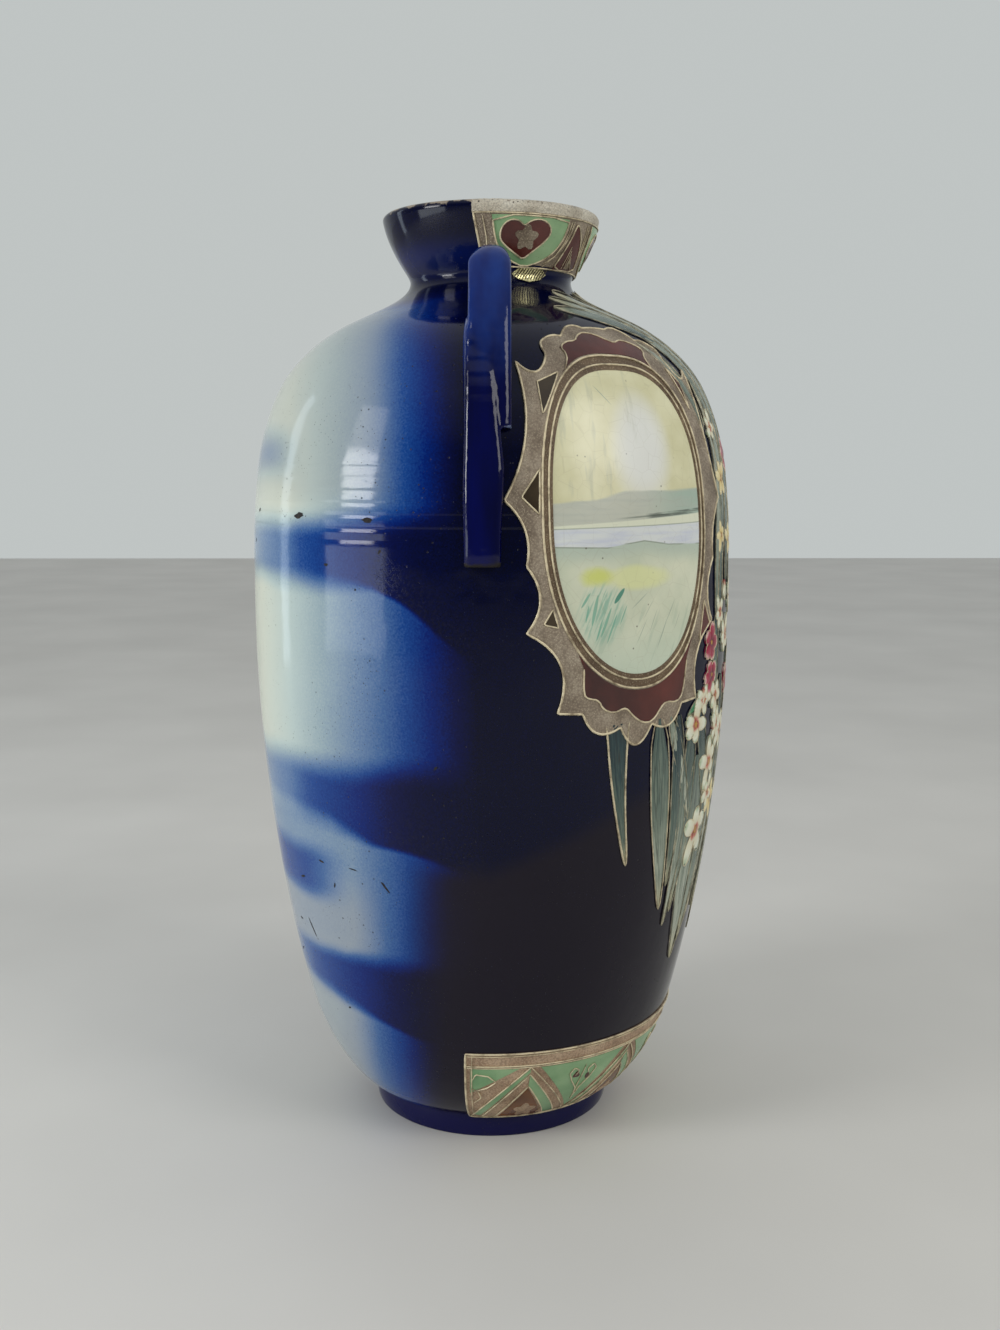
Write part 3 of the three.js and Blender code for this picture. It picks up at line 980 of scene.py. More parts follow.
HILL_TOP = [(-60, 12), (-29, 14), (-18, 17), (-10, 19), (8, 19.4), (30, 18.8), (60, 20.5)]
BANK_TOP = [(-60, 2.0), (-23, 1.0), (-10, 3.0), (4, 4.6), (24, 2.0), (60, 1.2)]
BANK_BASE = -15
GRASS_STROKES = [
    ((-18, -47), (-11, -38), 3.2), ((-27, -67), (-20, -49), 2.2), ((-33, -60), (-29, -41), 2.6),
    ((-23, -71), (-16, -53), 1.6), ((-40, -49), (-34, -40), 2.0), ((-30, -69), (-26, -56), 1.5),
    ((-37, -58), (-35, -47), 1.6), ((-14, -60), (-9, -48), 1.4),
]
FINE_STROKES = [
    ((-6, -51), (7, -41), 0.9), ((15, -76), (24, -57), 1.1), ((22, -61), (31, -46), 0.9), ((-2, -73), (7, -56), 0.8),
    ((8, -67), (15, -51), 0.8), ((30, -66), (36, -54), 0.8), ((-25, 81), (-13, 69), 1.0), ((3, -58), (12, -45), 0.7),
]


def landscape_finish():
    """The painted view: a hazy sky, a far hill, still water and rough meadow, under crackled glaze."""
    finish = Finish("painted_landscape")
    drawn = finish.drawing()
    x, y, _ = finish.parts(drawn)
    across = x - PANEL_X * MM
    up = y - PANEL_Y * MM
    wash = finish.noise(drawn, 38.0, 4.0)
    flat = finish.noise(finish.stretched(drawn, (34.0, 300.0, 1.0)), 1.0, 3.0)
    upright = finish.noise(finish.stretched(drawn, (150.0, 26.0, 1.0)), 1.0, 3.0)
    finish.colour = finish.ramp(wash, [(0.3, 214, 210, 168), (0.65, 230, 227, 190)])
    glow = (across - 0.006) * (across - 0.006) * 1600.0 + (up - 0.044) * (up - 0.044) * 800.0
    finish.over(finish.step(glow, 1.25, 0.1) * 0.85, (238, 240, 238))
    smudge = finish.step(upright, 0.55, 0.68) * finish.step(across, 0.020, -0.010)
    finish.over(smudge * 0.40, (178, 182, 160))

    # The far hill, darker to the right, with a dark shore under it and a cream strip
    hill_line = finish.line_at(across, HILL_TOP) + (flat - 0.5) * 0.003
    hill = finish.mixed(finish.step(across, -0.005, 0.045), (197, 200, 188), (166, 188, 176))
    hill = finish.mixed(finish.step(flat, 0.45, 0.65) * 0.4, hill, (180, 186, 178))
    finish.over(finish.step(up - hill_line, 0.0010, -0.0010) * 0.9, hill)
    shore = up - 0.0038 - across * 0.055
    finish.over(finish.near(shore, 0.0007) * finish.step(across, -0.020, 0.0) * 0.7, (120, 130, 118))
    accent = finish.near(shore, 0.0016) * finish.step(across, 0.004, 0.012) * finish.step(flat, 0.38, 0.50)
    finish.over(accent * 0.75, (84, 92, 84))
    finish.over(finish.step(shore, -0.0012, -0.0022), (228, 231, 208))

    # Still water, then the near bank with its own low rise
    water_edge = up + 0.0016 - across * 0.02
    water = finish.ramp(flat, [(0.3, 208, 213, 224), (0.6, 224, 228, 226)])
    finish.over(finish.step(water_edge, 0.0004, -0.0004), water)
    finish.over(finish.near(water_edge, 0.0005) * 0.7, (148, 156, 140))
    bank_line = up - finish.line_at(across, BANK_TOP) - BANK_BASE * MM
    meadow = finish.ramp(wash, [(0.3, 204, 211, 186), (0.65, 222, 225, 200)])
    bank = finish.mixed(finish.step(bank_line, -0.014, -0.001), meadow, (190, 202, 186))
    finish.over(finish.step(bank_line, 0.0005, -0.0005), bank)
    finish.over(finish.near(bank_line, 0.0006) * finish.step(flat, 0.36, 0.50) * 0.75, (138, 148, 130))

    # Meadow: yellow flowers, teal grass to the left, thin dark strokes to the right and a mint foot
    finish.over(finish.step(up, -0.050, -0.088) * 0.6, (192, 209, 190))
    for middle_x, middle_y, spread, share, tint in (
        (0.000, -0.032, 900.0, 0.65, (232, 234, 164)), (-0.030, -0.031, 5200.0, 0.9, (214, 220, 112)),
    ):
        patch = (across - middle_x) * (across - middle_x) * spread + (up - middle_y) * (up - middle_y) * 14000.0
        patch = finish.step(patch + (wash - 0.5) * 1.2, 1.0, 0.1)
        finish.over(patch * share, tint)
    grass = (across + 0.026) * (across + 0.026) * 3200.0 + (up + 0.053) * (up + 0.053) * 2400.0
    grass = finish.step(grass, 1.1, 0.2)
    finish.over(grass * 0.35, (178, 206, 186))
    leaning = finish.stretched(finish.stretched(drawn, (1.0, 1.0, 1.0), 0.42), (420.0, 46.0, 1.0))
    blades = finish.noise(leaning, 1.0, 3.0)
    finish.over(grass * finish.step(blades, 0.48, 0.60) * 0.7, (130, 182, 160))
    broad = finish.noise(leaning, 0.6, 2.0)
    finish.over(finish.step(up, -0.040, -0.060) * finish.step(broad, 0.56, 0.66) * 0.3, (160, 182, 160))
    for strokes, share, tint in (
        (GRASS_STROKES[1:], 0.75, (112, 174, 150)), (GRASS_STROKES[:1], 0.9, (62, 138, 118)),
        (FINE_STROKES, 0.65, (136, 156, 140)),
    ):
        mask = 0.0
        for start, end, width in strokes:
            mask = finish.greatest(mask, finish.stroke(across, up, start, end, width))
        finish.over(mask * share, tint)
    crackle = finish.step(finish.cells(drawn, 95.0, "DISTANCE_TO_EDGE"), 0.018, 0.006)
    finish.over(crackle * 0.12, (150, 138, 104))
    pit = finish.step(finish.cells(drawn, 110.0), 0.09, 0.04) * finish.step(wash, 0.48, 0.56)
    finish.over(pit * 0.8, (96, 92, 76))
    return finish.shows(0.20 + wash * 0.1, bump=wash * 0.5 - crackle * 0.1, depth=0.0002)


def make_panel(slip, ring_slip, oxblood, umber, cream):
    """Frame, oxblood fields, painting and trailed lines of the left panel, and the right one mirrored."""
    frame_cell = 1.6
    outline = in_panel(frame_outline())
    corners = [in_panel(field) for field in SIDE_FIELDS]
    in_pair("panel_frame", [outline, in_panel(oval(6.0))], frame_cell, 2.2, 0.85, slip, stippled)
    in_pair("panel_ring", [in_panel(oval(6.4)), in_panel(oval(-0.2))], 4.0, 1.6, 0.55, ring_slip)
    in_pair("panel_enamel", panel_fields(), 5.0, 0.6, 1.12, oxblood)
    in_pair("panel_umber", corners, 5.0, 0.6, 1.12, umber)
    in_pair("painting", [in_panel(oval(0.8))], 5.0, 1.2, 0.35, landscape_finish())

    trails = Trails(11)
    trails.line(outline, 0.75, closed=True, lift=0.75)
    trails.line(in_panel(oval(2.2)), 0.60, closed=True, lift=0.75)
    trails.line(in_panel(oval(6.1)), 0.68, closed=True, lift=0.95)
    for edge in (TOP_FIELD_EDGE, FOOT_FIELD_EDGE):
        trails.line(in_panel(blended(edge, False)), 0.55, lift=1.15)
    for field in SIDE_FIELDS + FAR_FIELDS:
        trails.line(in_panel(field), 0.5, closed=True, lift=1.15)
    trails.in_pair("panel_lines", cream)


# Rim and foot bands

def turned_points(points):
    """Flat places of points given as (turn in degrees, height)."""
    return [(turn * DEGREE, height) for turn, height in points]


def shifted(points, turn):
    return [(place + turn, height) for place, height in points]


SHIELD = [
    (0.6, 600.6), (45, 600.6), (44.4, 594), (43.2, 587), (39, 580), (32, 575), (21.5, 571.5), (11.5, 575), (5, 581),
    (2.4, 587),
]
HEART = [
    (17.8, 594.6), (14.6, 597.6), (11, 598.2), (7.2, 596), (4.9, 591), (5.2, 586.5), (9, 582.5), (15, 578.6),
    (19.8, 575.8), (25, 580.5), (31, 586), (34.4, 591.5), (32.5, 596.2), (28, 598.8), (23.6, 598.8), (20, 597),
]
LANCET = [(51.6, 598.5), (53.8, 598.5), (60, 590), (65.5, 580), (69, 572.5), (44, 571.5), (47.2, 580), (50, 590)]
GILDED_PATCH = [(14, 567), (18, 570.6), (27, 572), (37, 570.4), (40, 567.4), (34, 563.4), (26, 561.6), (18, 563.4)]
RIM_EDGE = [(-8.9, 602.5), (-5.2, 574)]
NECK_RADIUS = 64
TREFOIL_HEIGHT = 588.2


def rosette(turn, height, radius, lobes, squeeze=1.0):
    """A lobed outline about a place, radius in millimetres along the height."""
    points = []
    for index in range(lobes * 6):
        angle = 2 * math.pi * index / (lobes * 6)
        reach = radius * (0.82 + 0.18 * math.cos(lobes * angle))
        points.append((turn + squeeze * reach * math.sin(angle) / DEGREE, height + reach * math.cos(angle)))
    return points


def make_rim_band(slip, celadon, oxblood, umber, gilding, bright_gilding, cream):
    """Shields with hearts and trefoils, lancets between them, and the gilded patch under the first."""
    squeeze = BELLY_RADIUS / NECK_RADIUS
    edge = [RIM_EDGE[0], (FRONT, 602.5), (FRONT, 571), RIM_EDGE[1]]
    half_shield = [(FRONT, 600.6), (FRONT, 571.5)] + shifted(SHIELD[6:], FRONT - 22.8) + [(68.0, 600.6)]
    half_heart = [(FRONT, 594.6)] + shifted(HEART[1:8], FRONT - 19.8) + [(FRONT, 575.8)]
    trefoils = [rosette(19.9, TREFOIL_HEIGHT, 7.8, 5, squeeze), rosette(57, 575.5, 3.2, 3, squeeze)]
    front_trefoil = rosette(FRONT, TREFOIL_HEIGHT, 7.8, 5, squeeze)
    trefoils.append([place for place in front_trefoil if place[0] < FRONT + 0.01])
    for name, fields, cell, depth, lift, finish, shaped in (
        ("rim_ground", [edge], 6.0, 1.6, 0.55, slip, stippled),
        ("rim_celadon", [SHIELD, half_shield], 6.0, 0.5, 0.85, celadon, None),
        ("rim_oxblood", [HEART, LANCET, half_heart], 6.0, 0.5, 1.0, oxblood, None),
        ("rim_patch", [GILDED_PATCH], 4.0, 0.6, 1.2, bright_gilding, None),
        ("rim_gilding", trefoils, 4.0, 0.6, 1.2, gilding, lambda flat: 1.6 * stippled(flat)),
    ):
        in_pair(name, [turned_points(field) for field in fields], cell, depth, lift, finish, shaped)

    trails = Trails(23)
    trails.turned(RIM_EDGE, 0.7, lift=0.8)
    trails.turned([(-4.2, 600), (-2.4, 588), (-2.0, 577)], 0.35)
    trails.turned([(-8.9, 601.8), (FRONT, 601.8)], 0.45)
    trails.turned([(-5.4, 571.4), (FRONT, 571.4)], 0.55, lift=0.8)
    for outline, closed, lift in (
        (SHIELD, True, 1.0), (half_shield[1:], False, 1.0), (HEART, True, 1.1), (half_heart, False, 1.1),
        (LANCET, True, 1.1),
    ):
        trails.turned(blended(outline, closed), 0.5, closed, lift)
    for inset, foot in ((1.6, 572.5), (3.4, 574)):
        trails.turned([(45.8 + inset, 600), (45 + inset * 0.6, 588), (42, 579), (35, foot)], 0.32)
        trails.turned([(66 - inset, 600), (67.4 - inset, 588), (70 - inset, 578)], 0.32)
    for index in range(5):
        trails.turned([(52 + 2.6 * index, 573), (53.5 + 1.2 * index, 586 - 2 * index)], 0.28, lift=1.2)
    hatch = Trails(29)
    for turn in range(17, 38, 2):
        hatch.turned([(turn - 2.0, 563), (turn + 2.6, 571)], 0.34, lift=1.5)
    hatch.in_pair("rim_hatch", umber)
    trails.in_pair("rim_lines", cream)


def make_lip(slip):
    """The stippled slip round the front half of the lip."""
    rings = []
    count = 230
    start, end = -9.5, 2 * FRONT + 9.5
    for step in range(count + 1):
        turn = math.radians(start + (end - start) * step / count)
        ring = []
        for index in range(22):
            around = index / 21
            angle = math.radians(-60 + 255 * around)
            swell = 1.0 if 0 < index < 21 else 0.2
            radius = MOUTH_RADIUS - LIP_ROUND - 0.6 + (LIP_ROUND + 0.9 * swell) * math.cos(angle)
            height = LIP_HEIGHT - 0.4 + (LIP_ROUND + 0.7 * swell) * math.sin(angle)
            if angle < 0:
                height = LIP_HEIGHT - 0.4 + 5.2 * math.sin(angle)
                radius = MOUTH_RADIUS + 0.45 * swell - 1.3 * abs(math.sin(angle))
            grain = 0.30 * noise.noise(Vector((turn * 110, angle * 3.2, 1.0)))
            chipped = noise.noise(Vector((turn * 9, 4.0, 2.0)))
            radius += grain * swell
            height += grain * swell - 0.5 * max(0, chipped - 0.35) * (math.sin(angle) > 0.5)
            height = min(height, HEIGHT + 0.3)
            ring.append(Vector((-radius * math.cos(turn), -radius * math.sin(turn), height)) * MM)
        rings.append(ring)
    finished(smooth(lofted("lip_slip", rings), 60), slip)


# Peaks of the foot band's chevrons on the left half, the last one on the middle of the front
PEAKS = [12, 49, 90]
BAND_LEFT = [(-7.5, 77.4), (-9.3, 17.2)]
# A scroll between two chevrons: how far round from the middle, and height
SCROLL = [(0, 34), (0.8, 42), (3.4, 49), (5.0, 56), (3.6, 60), (1.6, 57), (2.6, 53)]


def chevron_side(peak, foot_turn, line):
    """Top and foot of one of a chevron's three lines: 0 outer, 1 middle, 2 inner."""
    tops = [66, 60, 50]
    shares = [1.0, 0.78, 0.52]
    return (peak, tops[line]), (peak + (foot_turn - peak) * shares[line], 19.5)


def make_foot_band(slip, celadon, amber, oxblood, cream):
    """Chevrons with florets in them, scrolls between them, and rules along both edges."""
    edge = [BAND_LEFT[0], (FRONT, 77.4), (FRONT, 17.2), BAND_LEFT[1]]
    in_pair("band_ground", [turned_points(edge)], 4.0, 2.0, 0.5, slip, stippled)

    green, brown, rust, florets = [], [], [], []
    trails = Trails(31)
    green.append([(-6.2, 65.6), (8.6, 65.6), (-7.0, 45)])
    for index, peak in enumerate(PEAKS):
        before = (PEAKS[index - 1] + peak) / 2 if index else -8.5
        following = PEAKS[index + 1] if peak < FRONT else peak
        middle = (peak + following) / 2
        for foot_turn in [before, middle] if peak < FRONT else [before]:
            sides = [chevron_side(peak, foot_turn, line) for line in range(3)]
            for side in sides:
                trails.turned(side, 0.45, lift=0.95)
            (outer_top, outer_foot), (middle_top, middle_foot), (inner_top, inner_foot) = sides
            if foot_turn > peak:
                green.append([middle_top, inner_top, inner_foot, middle_foot])
            else:
                left_side = [(middle_foot[0] - 0.8, 20), (outer_foot[0] + 1.2, 22)]
                green.append([(outer_top[0], 64.5), (middle_top[0], 61.5)] + left_side)
        left_foot = chevron_side(peak, before, 2)[1][0] + 1.5
        right_foot = chevron_side(peak, middle, 2)[1][0] - 1.5 if peak < FRONT else peak
        brown.append([(peak, 48), (left_foot, 19), (right_foot, 19)])
        if peak == FRONT:
            continue
        florets.append(rosette(peak + 0.5, 26.5, 7.4, 5, 1.7))
        florets.append(rosette(peak + 7.5, 23.0, 3.0, 3, 1.4))
        green.append([(peak + 3.2, 65.2), (following - 3.2, 65.2), (middle, 23)])
        rust.append(rosette(middle - 2.2, 53.5, 3.0, 3, 1.3))
        rust.append(rosette(middle + 2.4, 50.5, 2.4, 2, 1.3))
        for sway in (-1, 1):
            scroll = [(middle + reach * sway, height) for reach, height in SCROLL]
            trails.turned(scroll, 0.42, lift=1.1)
        trails.turned([(middle, 30), (middle - 0.6, 44), (middle + 0.4, 61)], 0.36, lift=1.1)
    trails.turned([(-5.5, 47), (-1.5, 50), (1.5, 55), (-1.0, 60), (-4.8, 61.5), (-5.8, 57)], 0.42, lift=1.1)
    trails.turned([(-6, 36), (-3.4, 41), (-4.4, 47), (-6.4, 49)], 0.42, lift=1.1)
    for height, thickness in ((77.2, 0.55), (75.4, 0.3), (67.6, 0.45), (66.2, 0.35), (17.6, 0.6)):
        trails.turned([(-7.6 - (77 - height) * 0.028, height), (FRONT, height)], thickness, lift=0.85)
    trails.turned(BAND_LEFT, 0.7, lift=0.8)
    trails.turned([(-5.6, 76), (-7.2, 19)], 0.35)

    for name, fields, finish, lift in (
        ("band_celadon", green, celadon, 0.8), ("band_amber", brown, amber, 0.8),
        ("band_rust", rust, oxblood, 1.0), ("band_floret", florets, slip, 1.0),
    ):
        in_pair(name, [turned_points(field) for field in fields], 5.0, 0.5, lift, finish)
    trails.in_pair("band_lines", cream)


# The spray of flowers and sword leaves

# Each leaf: its middle line as (turn, height) from root to tip, half width, and tone from dark to silver
LEAVES = [
    ([(28.4, 292), (29.0, 264), (30.4, 236), (33.4, 200)], 8.6, 0.0),
    ([(40.2, 292), (42.0, 252), (44.0, 212), (47.6, 163)], 8.4, 0.42),
    ([(47.0, 292), (48.5, 250), (49.6, 215), (49.0, 178)], 6.0, 0.05),
    ([(53.0, 288), (53.6, 240), (54.2, 200), (53.0, 158)], 7.0, 0.30),
    ([(44.0, 292), (49.4, 258), (55.4, 220)], 4.8, 0.95),
    ([(50.5, 262), (52.0, 222), (52.0, 188), (50.6, 150)], 4.6, 0.60),
    ([(57.5, 262), (58.6, 205), (59.4, 160), (60.0, 120)], 12.5, 0.58),
    ([(56.5, 290), (60.0, 262), (63.0, 232)], 6.0, 0.12),
    ([(66.5, 250), (65.6, 205), (64.0, 165), (62.2, 131)], 7.5, 0.40),
    ([(72.0, 262), (70.4, 214), (67.6, 175), (64.8, 142)], 6.0, 0.80),
    ([(70.0, 310), (73.0, 270), (76.0, 226)], 6.0, 0.15),
    ([(78.5, 280), (78.0, 226), (76.0, 184), (72.6, 148)], 8.0, 0.50),
    ([(84.5, 290), (84.6, 226), (82.6, 172), (80.0, 126)], 8.5, 0.65),
    ([(89.0, 260), (89.4, 204), (89.2, 156), (89.4, 112)], 8.0, 0.40),
    ([(80.0, 330), (82.5, 292), (86.0, 250)], 5.5, 0.90),
    ([(68.0, 390), (69.2, 430), (69.0, 474), (65.5, 515)], 7.0, 0.62),
    ([(66.0, 340), (66.6, 385), (66.4, 430), (64.0, 486)], 5.0, 0.35),
    ([(63.6, 350), (64.0, 400), (66.2, 440), (63.0, 500)], 4.0, 0.80),
    ([(72.5, 372), (74.6, 425), (75.0, 474), (72.8, 520)], 6.5, 0.40),
    ([(79.0, 352), (80.4, 412), (81.0, 468), (79.4, 522)], 7.5, 0.72),
    ([(86.5, 330), (86.6, 402), (86.8, 466), (86.2, 520)], 7.0, 0.50),
    ([(70.0, 460), (64.6, 512), (55.0, 534), (43.0, 545), (32.0, 551)], 7.5, 0.50),
    ([(75.0, 450), (69.4, 514), (60.0, 540), (49.0, 551), (40.0, 556)], 8.0, 0.75),
    ([(81.0, 440), (77.4, 512), (70.0, 546), (62.0, 557)], 8.5, 0.42),
    ([(87.6, 430), (86.0, 512), (82.0, 549), (78.0, 560)], 8.5, 0.60),
    ([(60.0, 524), (50.0, 534), (38.0, 540), (27.0, 543)], 5.0, 0.25),
    ([(61.0, 468), (58.6, 490), (53.0, 512), (47.0, 521)], 5.5, 0.55),
    ([(64.0, 352), (63.6, 326), (66.4, 300)], 5.0, 0.20),
    ([(58.0, 300), (54.0, 296), (50.6, 290)], 3.0, 1.3), ([(55.0, 272), (52.4, 282), (51.6, 292)], 2.6, 1.3),
]
TAPERED_LEAVES = (0,)
# The first leaves are outlined in cream, the others in grey
CREAM_LEAVES = 2

# Each flower: turn, height, size, kind, and the way its longest petal points, in degrees from upright
FLOWERS = [
    (60.4, 334, 13.5, "rose", 10), (61.4, 313, 13.0, "rose", 190), (54.2, 283, 19.0, "white", 15),
    (65.2, 298, 15.0, "white", 160), (64.6, 254, 20.0, "white", 200), (60.8, 210, 25.0, "white", 212),
    (72.0, 335, 17.0, "white", 40), (78.0, 305, 15.0, "rose", 100), (73.5, 272, 19.0, "white", 230),
    (84.0, 262, 19.0, "white", 330), (86.0, 318, 19.0, "cream", 10), (68.6, 438, 15.0, "cream", 60),
    (77.0, 452, 14.0, "rose", 0), (84.5, 412, 18.0, "white", 120), (76.0, 398, 15.0, "cream", 280),
    (86.0, 476, 16.0, "white", 30), (70.6, 226, 16.0, "cream", 160), (80.5, 360, 16.0, "white", 300),
    (57.6, 298, 13.0, "white", 90), (68.4, 278, 15.0, "white", 75), (66.8, 232, 15.0, "white", 30),
    (66.0, 352, 13.0, "white", 330), (66.6, 402, 12.0, "cream", 200), (66.0, 470, 12.0, "white", 20),
]
FLOWER_BUDS = [(57.6, 306, 9, 170), (66.0, 273, 8, 20), (80.0, 235, 9, 190), (71.5, 372, 9, 200), (82.0, 440, 8, 20)]


def leaning(turn, height, lean, along, over):
    """The flat place that far along and beside a line leaning from turn and height by degrees."""
    squeeze = BELLY_RADIUS / wall_at(height)[0]
    angle = math.radians(lean)
    x = along * math.sin(angle) + over * math.cos(angle)
    y = along * math.cos(angle) - over * math.sin(angle)
    return turn * DEGREE + x * squeeze, height + y


def leaf_width(half_width, share, tapered):
    """Half the width of a leaf, a share of its way from root to tip."""
    if tapered:
        return half_width * (1 - share) ** 0.85
    swell = 0.62 + 0.5 * math.sin(math.pi * min(share * 1.15, 1) * 0.9)
    return half_width * swell * (1 - share ** 3.2) ** 0.8 * (0.45 + 0.55 * min(1, share * 5))


def blade(name, middle, half_width, tone, tapered, rows=22):
    """A sword leaf: a strip drawn along its middle line, domed across and drawn out to a tip."""
    line = blended(turned_points(middle), False, 2)
    lengths = [0.0]
    for before, after in zip(line, line[1:]):
        lengths.append(lengths[-1] + (Vector(after) - Vector(before)).length)
    clear_selection()
    bpy.ops.mesh.primitive_grid_add(x_subdivisions=6, y_subdivisions=rows, size=2)
    leaf = newest(name)
    rise = leaf.data.attributes.new("along", "FLOAT", "POINT")
    across = leaf.data.attributes.new("across", "FLOAT", "POINT")
    tones = leaf.data.attributes.new("tone", "FLOAT", "POINT")
    for index, vertex in enumerate(leaf.data.vertices):
        side = vertex.co.x
        share = (vertex.co.y + 1) / 2
        target = share * lengths[-1]
        span = max(i for i in range(len(lengths) - 1) if lengths[i] <= target + 1e-9)
        part = (target - lengths[span]) / max(lengths[span + 1] - lengths[span], 1e-6)
        start, end = Vector(line[span]), Vector(line[span + 1])
        along = (end - start).normalized()
        place = start.lerp(end, min(part, 1))
        place += Vector((along.y, -along.x)) * side * leaf_width(half_width, share, tapered)
        vertex.co = (place.x, place.y, 0.55 * (1 - side * side) - 0.08 * math.cos(math.pi * 3 * side))
        rise.data[index].value = share
        across.data[index].value = side * 0.5 + 0.5
        tones.data[index].value = tone
    edited(leaf, thick(0.9), outward_normals)
    return leaf


def leaf_edges(middle, half_width, tapered):
    """The two flat lines along a leaf's edges."""
    line = blended(turned_points(middle), False, 2)
    count = len(line) - 1
    sides = ([], [])
    for index, point in enumerate(line):
        ahead = Vector(line[min(index + 1, count)]) - Vector(line[max(index - 1, 0)])
        out = Vector((ahead.y, -ahead.x)).normalized()
        width = leaf_width(half_width, index / count, tapered)
        for side, way in zip(sides, (1, -1)):
            side.append(Vector(point) + out * width * way)
    return sides


def petal_width(half_width, share, kind):
    """Half the width of a petal there: round for a rose, drawn out to a point for the others."""
    if kind == PETAL_KINDS["rose"]:
        return half_width * math.sin(math.pi * min(0.06 + share * 0.88, 1)) ** 0.62
    return half_width * 1.86 * (0.03 + 0.97 * share) ** 0.62 * (1.02 - share) ** 0.52


def petal(name, turn, height, length, half_width, lean, kind, lift):
    """One petal from the flower's middle, domed, with a notched tip."""
    clear_selection()
    bpy.ops.mesh.primitive_grid_add(x_subdivisions=6, y_subdivisions=8, size=2)
    leaf = newest(name)
    rise = leaf.data.attributes.new("along", "FLOAT", "POINT")
    kinds = leaf.data.attributes.new("tone", "FLOAT", "POINT")
    for index, vertex in enumerate(leaf.data.vertices):
        side = vertex.co.x
        share = (vertex.co.y + 1) / 2
        along = length * (share - 0.09 * (1 - abs(side)) * share ** 4)
        dome = 0.75 * (1 - side * side) * math.sin(math.pi * (0.15 + 0.7 * share))
        over = side * petal_width(half_width, share, kind)
        vertex.co = (*leaning(turn, height, lean, along, over), dome + lift)
        rise.data[index].value = share
        kinds.data[index].value = kind
    edited(leaf, thick(0.9), outward_normals)
    return leaf


def petal_edge(turn, height, length, half_width, lean, kind):
    """The flat line round a petal, open at the flower's middle."""
    points = []
    for side, shares in ((-1, range(1, 9)), (1, range(8, 0, -1))):
        for share in [step / 8 for step in shares]:
            over = side * petal_width(half_width, share, kind)
            points.append(leaning(turn, height, lean, length * share, over))
    return points


PETAL_KINDS = {"white": 0.0, "cream": 0.5, "rose": 1.0}


def leaf_finish():
    """Brushed leaf enamel: teal to grey-green with silver streaks along each blade."""
    finish = Finish("leaf_enamel")
    place = finish.place()
    along = finish.amount("along")
    across = finish.amount("across")
    tone = finish.amount("tone")
    lines = finish.node("ShaderNodeCombineXYZ", None, {0: across * 5.0 + tone * 40.0, 1: along * 1.6, 2: tone * 9.0})
    streak = finish.noise(Value(finish, lines.outputs[0]), 2.2, 4.0, 0.6)
    level = tone * 0.48 + streak * 0.66 - 0.16 + along * 0.40
    finish.colour = finish.ramp(level, [
        (0.08, 16, 32, 40), (0.26, 36, 62, 66), (0.44, 84, 102, 92), (0.64, 130, 142, 126),
        (0.86, 184, 190, 172),
    ])
    slit = finish.noise(Value(finish, lines.outputs[0]), 4.2, 2.0, 0.4)
    finish.over(finish.step(slit, 0.57, 0.64) * 0.65, (34, 40, 38))
    fresh = finish.ramp(streak, [(0.3, 34, 110, 72), (0.7, 96, 164, 118)])
    finish.over(finish.step(tone, 1.1, 1.2), fresh)
    pale_tip = finish.step(along, 0.80, 0.99)
    finish.over(pale_tip * 0.6, (206, 196, 156))
    finish.over(finish.step(finish.cells(place, 380.0), 0.12, 0.06) * 0.5, DARK_CLAY)
    return finish.shows(0.20 + streak * 0.1, bump=streak, depth=0.0003)


def petal_finish():
    """White, cream and rose petals, flushed from the middle."""
    finish = Finish("petal_enamel")
    place = finish.place()
    along = finish.amount("along")
    kind = finish.amount("tone")
    wash = finish.noise(place, 150.0, 3.0)
    reach = along + (wash - 0.5) * 0.35
    white = finish.ramp(reach, [
        (0.05, 126, 44, 36), (0.18, 188, 104, 84), (0.32, 220, 214, 184), (0.75, 230, 233, 212),
        (0.95, 182, 198, 166),
    ])
    cream = finish.ramp(reach, [(0.05, 150, 96, 40), (0.3, 222, 200, 130), (0.9, 236, 224, 176)])
    rose = finish.ramp(reach, [
        (0.1, 84, 8, 30), (0.4, 148, 26, 58), (0.75, 172, 52, 78), (0.97, 226, 190, 184),
    ])
    finish.colour = finish.mixed(finish.step(kind, 0.2, 0.3), white, cream)
    finish.over(finish.step(kind, 0.7, 0.8), rose)
    return finish.shows(0.24 + wash * 0.1, bump=wash, depth=0.0003)


def other_half(chance):
    """The spray's leaves and flowers on the right half, grown a little differently from the left."""
    leaves = []
    for middle, half_width, tone in LEAVES:
        turn, rise = chance.uniform(-1.2, 1.2), chance.uniform(-7, 7)
        moved = [(2 * FRONT - place + turn, height + rise) for place, height in middle]
        leaves.append((moved, half_width * chance.uniform(0.9, 1.1), tone))
    flowers = []
    for turn, height, size, kind, lean in FLOWERS:
        turn = 2 * FRONT - turn + chance.uniform(-1.6, 1.6)
        height += chance.uniform(-9, 9)
        size *= chance.uniform(0.9, 1.1)
        flowers.append((turn, height, size, kind, -lean + chance.uniform(-25, 25)))
    buds = [
        (2 * FRONT - turn, height + chance.uniform(-8, 8), size, -lean) for turn, height, size, lean in FLOWER_BUDS
    ]
    return leaves, flowers, buds


